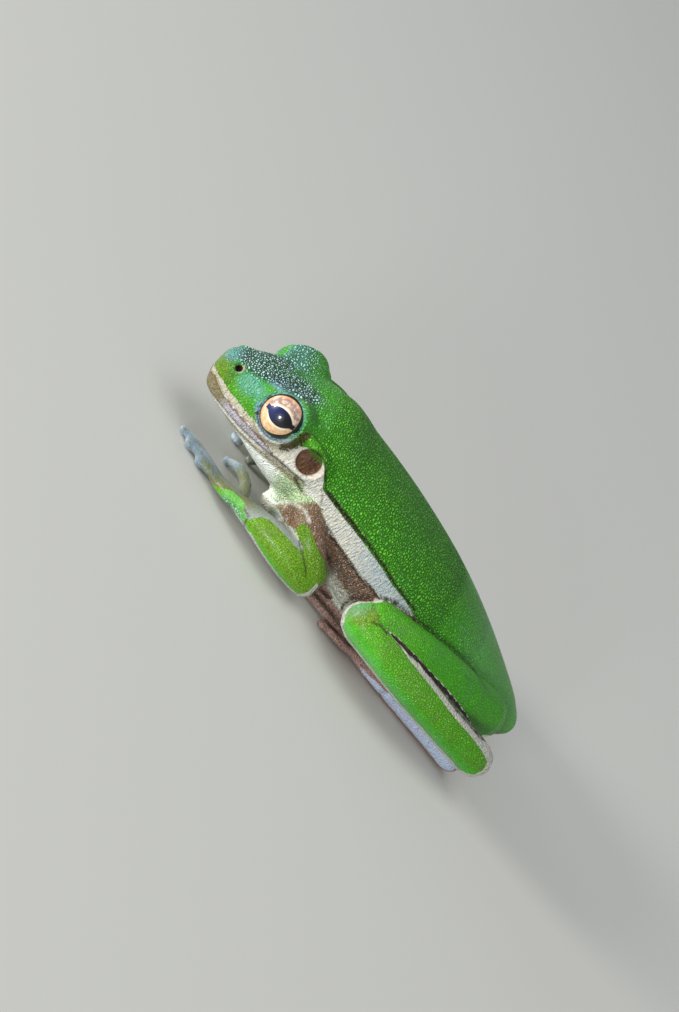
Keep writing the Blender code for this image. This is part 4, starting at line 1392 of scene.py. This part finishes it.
    def lid_and_nostril(self, body: np.ndarray, side: Side) -> None:
        """The rims of one eye's lids, pale below, and the painted shade in the pit of one nostril.

        Args:
            body: rows of the frog's plan.
            side: which eye and nostril.
        """
        mirror = np.array([side.value, 1.0, 1.0])
        right, top, _ = self.viewpoint.axes()
        _, rise = self.plan.head_places(body)
        eye_rise = self.plan.eye_place[2]
        forward, spoke = self.form.around_eye(body, side)
        low_lid = smooth_rise(eye_rise + 0.3, eye_rise - 1.2, rise)
        rim = bell(spoke - 2.56 - 0.06 * low_lid, 0.11 + 0.1 * low_lid)
        rim = np.maximum(rim, smooth_rise(2.56, 2.5, spoke) * (1 - 0.9 * low_lid))
        rim = rim * smooth_rise(0.2, 0.5, forward) * 0.9
        self.raise_to("lid", rim)
        self.raise_to("lid_low", low_lid * (spoke < 3.4))
        middle = self.plan.head_point(self.plan.eye_place, side)
        toward = (body - middle) @ ((-0.9 * right - 0.4 * top) * mirror)
        self.raise_to("lid_front", smooth_rise(0.8, 2.2, toward) * rim)
        pit = self.form.around_nostril(body, side)
        # Painted shade in the nostril pit.
        self.raise_to("pit", smooth_rise(0.5, 0.38, pit))
        low = (body - self.form.nostrils[side][0]) @ ((0.8 * right - 0.6 * top) * mirror)
        self.raise_to("pit_rim", bell(pit - 0.5, 0.14) * smooth_rise(0.05, 0.35, low))

    def eardrums(self, body: np.ndarray, pixels: np.ndarray) -> None:
        """How far points are from the nearer eardrum's axis, and on which side of its green corner.

        Args:
            body: rows of the frog's plan.
            pixels: where they fall in the side view.
        """
        for side in Side:
            out, flat = self.form.around_ear(body, side)
            self.values["ear"] = np.minimum(self.values["ear"], np.where(np.abs(out) < 1.6, flat, 9.0))
        middle = self.plan.head_point(self.plan.ear_place) - self.plan.offset()
        column, row = self.viewpoint.pixels(middle[None, :])[0]
        slanted = (pixels[:, 0] - column - 5.0) * 0.7 - (pixels[:, 1] - row + 4.0) * 0.7
        self.values["ear_corner"] += slanted * self.viewpoint.mm_per_pixel

    def trunk_lines(self, body: np.ndarray, normals: np.ndarray, pixels: np.ndarray, cream: np.ndarray,
                    share: np.ndarray) -> None:
        """The dark lines along the cream stripe and the lip, and painted shade along the mouth groove and
        above the knee.

        Args:
            body: points of the frog's plan.
            normals: their normals.
            pixels: where they fall in the side view.
            cream: how far they are inside the cream area.
            share: how much they belong to the trunk.
        """
        ahead, rise = self.plan.head_places(body)
        lip_rise = self.plan.above_mouth(body)
        thick = 0.18 + 0.1 * smooth_rise(375.0, 350.0, pixels[:, 0])
        thick = thick - 0.16 * smooth_rise(496.0, 488.0, pixels[:, 1])
        upper = smooth_rise(thick + 0.08, thick - 0.1, self.apart(Marking.UPPER_LINE, pixels))
        lower = 0.9 * smooth_rise(0.3, 0.08, self.apart(Marking.LOWER_LINE, pixels))
        fold = 0.6 * smooth_rise(0.13, 0.04, self.apart(Marking.STRIPE_FOLD, pixels))
        stripe = np.maximum.reduce([upper, lower, fold]) * smooth_rise(-0.35, 0.0, normals[:, 2] + 0.35)
        # Painted shade along the mouth groove.
        mouth = bell(lip_rise - 0.06, 0.13) * smooth_rise(-0.9, -0.4, ahead) * 0.95
        labial = bell(cream, 0.09) * smooth_rise(0.0, 0.1, rise) * smooth_rise(3.4, 2.4, ahead) * 0.8
        labial = labial * smooth_rise(-0.8, -0.3, ahead)
        # Painted shade where the knee lies against the flank.
        knee = 0.95 * smooth_rise(0.2, 0.08, self.apart(Marking.KNEE_LINE, pixels))
        knee = knee * smooth_rise(-0.95, -0.8, normals[:, 2])
        self.values["line"] += share * np.maximum.reduce([stripe, mouth, labial, knee])
        self.values["brown"] += share * smooth_rise(1.3, 0.7, CHEST_CROOK.distance(pixels))

    def limbs(self, body: np.ndarray, normals: np.ndarray, share: Dict[str, np.ndarray],
              side: Side) -> None:
        """Arms and legs: green outside, pale edges with painted rim light on the hands, and grey or brown
        inner sides.

        Args:
            body: rows of the frog's plan.
            normals: their normals.
            share: how much each point belongs to each part.
            side: which arm and leg.
        """
        values = self.values
        right, top, back = (axis * np.array([side.value, 1.0, 1.0]) for axis in self.viewpoint.axes())
        facing = normals @ back
        outer = normals @ (-0.85 * right - 0.5 * top)
        leg = self.folded(body, side, self.plan.right_leg_shift)
        arm = self.folded(body, side, self.plan.right_arm_shift)
        self.arm(arm, facing, outer, share, side)
        self.leg(leg, facing, outer, share, side)
        hand, foot, tarsus = (share[f"{part}_{side.label}"] for part in ("hand", "foot", "tarsus"))
        values["green"] += -1.0 * (foot + tarsus)
        values["cream"] += -1.0 * (foot + tarsus)
        values["digit"] += hand + foot + tarsus
        palm = smooth_rise(452.0, 476.0, arm[:, 1])
        # Painted rim light: the hand is paler where it turns away from the camera.
        values["edge"] += hand * smooth_rise(0.75, 0.25, facing) * (0.8 - 0.6 * palm)
        values["rose"] += foot * 0.9 + tarsus
        along = smooth_rise(5.5, 9.5, body[:, 1])
        band = along * smooth_rise(-0.1, 0.25, outer) * smooth_rise(0.25, 0.6, facing)
        values["band"] += (tarsus + foot) * band
        for part in ("upper_arm", "forearm", "hand", "thigh", "shank"):
            values["fine"] += share[f"{part}_{side.label}"]

    def arm(self, pixels: np.ndarray, facing: np.ndarray, outer: np.ndarray,
            share: Dict[str, np.ndarray], side: Side) -> None:
        """Upper arm, forearm and wrist.

        Args:
            pixels: where points fall in the side view, laid over the left arm.
            facing: how far their normals face the camera's side.
            outer: how far they face away from the body.
            share: how much each point belongs to each part.
            side: which arm.
        """
        values = self.values
        upper_arm, forearm, hand = (
            share[f"{part}_{side.label}"] for part in ("upper_arm", "forearm", "hand"))
        rim = smooth_rise(-0.1, 0.4, outer)
        edge = (facing - (0.05 + 0.39 * rim)) * 2.5
        upper_green = self.inside(Marking.ARM_GREEN, pixels)
        forearm_green = self.inside(Marking.FOREARM_GREEN, pixels)
        wide = 1.0 + smooth_rise(278.0, 296.0, pixels[:, 0])
        white = (wide - Marking.ELBOW_RIM.value.distance(pixels)) * self.viewpoint.mm_per_pixel
        pale = np.minimum.reduce([-edge, (facing + 0.35) * 2.0, (outer - 0.05) * 2.0])
        upper_pale = np.minimum(pale, (pixels[:, 1] - 550.0) * 0.05)
        values["green"] += upper_arm * np.minimum.reduce([upper_green, edge, -white])
        values["green"] += forearm * np.minimum.reduce([forearm_green, edge, -white])
        values["green"] += hand * np.minimum(forearm_green, edge)
        values["cream"] += upper_arm * np.maximum(upper_pale, white)
        values["cream"] += forearm * np.maximum(pale, white)
        values["cream"] += hand * -0.5
        inner = 0.8 + 0.2 * smooth_rise(304.0, 316.0, pixels[:, 0])
        inner = inner * smooth_rise(496.0, 507.0, pixels[:, 1])
        crook = smooth_rise(1.6, 0.7, ARM_CROOK.distance(pixels))
        values["brown"] += upper_arm * np.maximum(crook, inner)
        values["brown"] += forearm * (smooth_rise(0.35, 0.0, np.abs(forearm_green)) * 0.4)
        values["digit"] += upper_arm * (0.8 * smooth_rise(286.0, 274.0, pixels[:, 0]))
        values["digit"] += forearm
        # Painted shade darkens the upper arm.
        values["shade"] += upper_arm * 0.6
        pale_fold = smooth_rise(0.26, 0.06, self.apart(Marking.CHEST_FOLD, pixels))
        values["chin_line"] += upper_arm * pale_fold * 0.8
        values["jaw_tint"] += upper_arm * 0.8 * smooth_rise(280.0, 292.0, pixels[:, 0])
        values["edge"] += forearm * 0.4 * smooth_rise(498.0, 520.0, pixels[:, 1])
        for weight in (upper_arm, forearm, hand):
            values["olive"] += weight * smooth_rise(455.0, 490.0, pixels[:, 1])
            values["lime"] += weight * 0.8 * smooth_rise(1.2, 0.5, outer)
            values["mint"] += weight * smooth_rise(0.3, 0.85, outer) * 0.5

        wrist = WRIST.distance(pixels)
        lower_arm = forearm + hand
        # Painted glints on the outward side of the wrist.
        values["frost"] += lower_arm * 0.55 * smooth_rise(1.3, 0.5, wrist) * smooth_rise(0.0, 0.7, outer)
        values["mint"] += lower_arm * 0.6 * smooth_rise(1.5, 0.7, wrist)
        values["lime"] -= lower_arm * 0.25 * smooth_rise(1.5, 0.6, wrist)
        # Painted shade in the wrist fold; beside it the green is thinned to show the paler lilac, a painted
        # highlight.
        fold = self.apart(Marking.WRIST_FOLD, pixels)
        values["line"] += lower_arm * 0.7 * smooth_rise(0.16, 0.04, fold)
        values["green"] -= lower_arm * 0.5 * smooth_rise(0.45, 0.2, fold)
        # Painted shade in the arm's fold.
        crease = smooth_rise(0.15, 0.03, self.apart(Marking.ARM_FOLD, pixels))
        values["line"] += (forearm + upper_arm) * 0.75 * crease

    def leg(self, pixels: np.ndarray, facing: np.ndarray, outer: np.ndarray,
            share: Dict[str, np.ndarray], side: Side) -> None:
        """Thigh and shank: one green knee, a white stripe on the shank and a painted shadow in the gap
        above it.

        Args:
            pixels: where points fall in the side view, laid over the left leg.
            facing: how far their normals face the camera's side.
            outer: how far they face away from the body.
            share: how much each point belongs to each part.
            side: which leg.
        """
        values = self.values
        column = pixels[:, 0]
        thigh, shank = (share[f"{part}_{side.label}"] for part in ("thigh", "shank"))
        both = thigh + shank
        rim = smooth_rise(-0.1, 0.4, outer)
        edge = (facing - (-0.25 + 0.66 * rim)) * 2.5
        thigh_green = self.inside(Marking.THIGH_GREEN, pixels)
        shank_green = self.inside(Marking.SHANK_GREEN, pixels)
        knee = smooth_rise(386.0, 380.0, column)
        joined = np.maximum(thigh_green, shank_green) * knee
        thigh_green = thigh_green * (1 - knee) + joined + 0.14 * (1 - knee)
        shank_green = shank_green * (1 - knee) + joined
        to_rim = np.minimum(
            Marking.KNEE_RIM.value.distance(pixels), Marking.HEEL_RIM.value.distance(pixels))
        white = (2.0 - to_rim) * self.viewpoint.mm_per_pixel
        # Painted shade in the crease along the thigh's upper edge.
        line = smooth_rise(0.17, 0.05, self.apart(Marking.THIGH_LINE, pixels))
        line = line * smooth_rise(0.0, 0.2, facing) * smooth_rise(500.0, 470.0, column)
        values["line"] += (thigh + share["trunk"]) * line * 0.7
        # Painted shade in the cleft at the knee.
        values["line"] += both * 0.9 * smooth_rise(0.18, 0.06, self.apart(Marking.KNEE_CLEFT, pixels))

        values["green"] += thigh * np.minimum.reduce([thigh_green, edge, -white])
        values["cream"] += thigh * np.maximum(np.where(column < 372.0, -edge, -0.5), white)
        values["brown"] += thigh * smooth_rise(0.1, -0.1, thigh_green)
        # Painted shadow in the gap just outside the thigh's green.
        gap = smooth_rise(0.05, -0.1, thigh_green) * smooth_rise(-1.1, -0.6, thigh_green)
        values["gap"] += thigh * gap * (1 - knee)
        # Painted shade darkens the thigh.
        values["shade"] += thigh * 0.4
        values["lime"] += thigh * 0.35 * smooth_rise(470.0, 400.0, column)
        values["mint"] += thigh * 0.2

        values["green"] += shank * np.minimum.reduce([shank_green, edge, -white])
        beyond = (0.52 + 0.5 * smooth_rise(478.0, 490.0, column) + shank_green) * (1 - knee) - 0.3 * knee
        beyond = beyond - 0.6 * smooth_rise(392.0, 385.0, column)
        values["cream"] += shank * np.maximum.reduce([
            np.minimum(beyond, facing + 0.6), np.minimum(-edge, (facing + 0.3) * 2.0) * rim, white])
        # Painted shadow in the gap beyond the shank's pale side.
        gap = smooth_rise(0.02, -0.1, beyond) * smooth_rise(-1.0, -0.5, beyond)
        values["gap"] += shank * gap * ((1 - knee) * smooth_rise(0.1, -0.1, shank_green))
        inner = smooth_rise(-0.3, -0.6, beyond)
        values["rose"] += shank * inner
        values["digit"] += shank * inner * 0.8
        values["brown"] += shank * 0.6 * smooth_rise(0.0, -0.3, facing)
        values["lime"] += shank * 0.5 * smooth_rise(0.6, 0.1, outer)
        values["mint"] += shank * 0.8 * smooth_rise(0.3, 0.75, outer)

        cap = KNEE_CAP.distance(pixels)
        # Painted glints and painted sky reflection on the knee cap, with mint and lime tints.
        values["frost"] += both * 0.1 * smooth_rise(1.5, 0.5, cap)
        values["mint"] += both * 0.25 * smooth_rise(1.8, 0.8, cap)
        values["lime"] += both * 0.5 * smooth_rise(1.4, 0.6, KNEE_FLAT.distance(pixels))
        values["blue"] += both * 0.28 * smooth_rise(1.6, 0.4, cap)

    def creases(self, body: np.ndarray) -> None:
        """Thin lines of painted shade where two parts are pressed together."""
        near = self.form.near
        for side in Side:
            knee = smooth_rise(366.0, 374.0, self.folded(body, side, self.plan.right_leg_shift)[:, 0])
            for first, second in self.PRESSED:
                a, b = (near.get(f"{name}_{side.label}", near.get(name)) for name in (first, second))
                here = bell(a - b, 0.12) * smooth_rise(0.75, 0.4, np.maximum(a, b))
                if (first, second) == ("torso", "thigh"):
                    here = here * smooth_rise(23.5, 18.0, body[:, 1])
                if (first, second) == ("thigh", "shank"):
                    here = here * knee
                self.raise_to("crease", here)


@dataclass
class Frog:
    """The whole frog: one skin over all its flesh, and two eyes."""

    plan: BodyPlan
    viewpoint: Viewpoint

    def build(self) -> List[bpy.types.Object]:
        """Builds and dresses the frog.

        Returns:
            The finished pieces.
        """
        form = SkinForm(self.plan)
        mesh = form.build()
        SkinMarks(self.plan, self.viewpoint, form).paint(mesh)
        mesh.transform(Matrix.Scale(MM, 4))
        mesh.shade_smooth()
        skin = bpy.data.objects.new("skin", mesh)
        bpy.context.scene.collection.objects.link(skin)
        mesh.materials.clear()
        mesh.materials.append(SkinFinish().make())
        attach(skin, "root")
        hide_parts(*FLESH)
        eye_finish = EyeFinish().make()
        eyes = [Eye(self.plan, side, self.viewpoint).build(eye_finish) for side in Side]
        return [skin, *eyes]


@dataclass(frozen=True)
class Studio:
    """A pale floor and soft light."""

    viewpoint: Viewpoint
    floor_size: float = 4.0
    lamp_distance: float = 0.6
    floor_colour: Colour = linear(222, 221, 214)
    world_colour: Colour = (0.86, 0.9, 0.95, 1.0)
    world_strength: float = 0.34

    def lamp(self, name: str, way: Point, size: float, power: float, colour: Point) -> None:
        """Adds a soft square lamp that points at the frog.

        Args:
            name: the lamp's name.
            way: where it stands, along the picture's right, its top and back to the camera.
            size: its side in metres.
            power: its power in watts.
            colour: its colour.
        """
        right, top, back = self.viewpoint.axes()
        place = Vector(unit(right * way[0] + top * way[1] + back * way[2])) * self.lamp_distance
        data = bpy.data.lights.new(name, "AREA")
        data.size, data.energy, data.color = size, power, colour
        lamp = bpy.data.objects.new(name, data)
        lamp.location = place
        lamp.rotation_euler = place.to_track_quat("Z", "Y").to_euler()
        lamp.visible_camera = False
        bpy.context.scene.collection.objects.link(lamp)

    def build(self) -> None:
        """Builds the floor, the lamps and the surroundings."""
        builder = bmesh.new()
        bmesh.ops.create_grid(builder, x_segments=2, y_segments=2, size=self.floor_size / 2)
        mesh = bpy.data.meshes.new("floor")
        builder.to_mesh(mesh)
        builder.free()
        floor = bpy.data.objects.new("floor", mesh)
        bpy.context.scene.collection.objects.link(floor)
        graph = Graph("floor")
        mesh.materials.append(graph.finish(Base_Color=self.floor_colour, Roughness=0.8))
        self.lamp("key", (-0.5, 0.72, 0.5), 0.14, 3.4, (1.0, 0.98, 0.95))
        self.lamp("sky", (-0.42, 0.88, -0.12), 0.3, 1.3, (0.72, 0.86, 1.0))
        self.lamp("window", (-0.25, -0.12, 0.95), 0.1, 1.9, (0.92, 0.96, 1.0))
        self.lamp("overhead", (0.75, 0.5, 0.35), 0.5, 0.95, (1.0, 1.0, 1.0))
        world = bpy.data.worlds.new("surroundings")
        world.use_nodes = True
        background = world.node_tree.nodes["Background"]
        background.inputs["Color"].default_value = self.world_colour
        background.inputs["Strength"].default_value = self.world_strength
        bpy.context.scene.world = world
        bpy.context.scene.view_settings.view_transform = "Standard"


def main() -> None:
    """Builds the scene and reports each piece."""
    logging.basicConfig(level=logging.INFO, format="%(name)s: %(message)s")
    viewpoint = Viewpoint()
    viewpoint.make_camera()
    for piece in Frog(BodyPlan(), viewpoint).build():
        log.info("%s has %d faces", piece.name, len(piece.data.polygons))
    Studio(viewpoint).build()


if __name__ == "__main__":
    main()
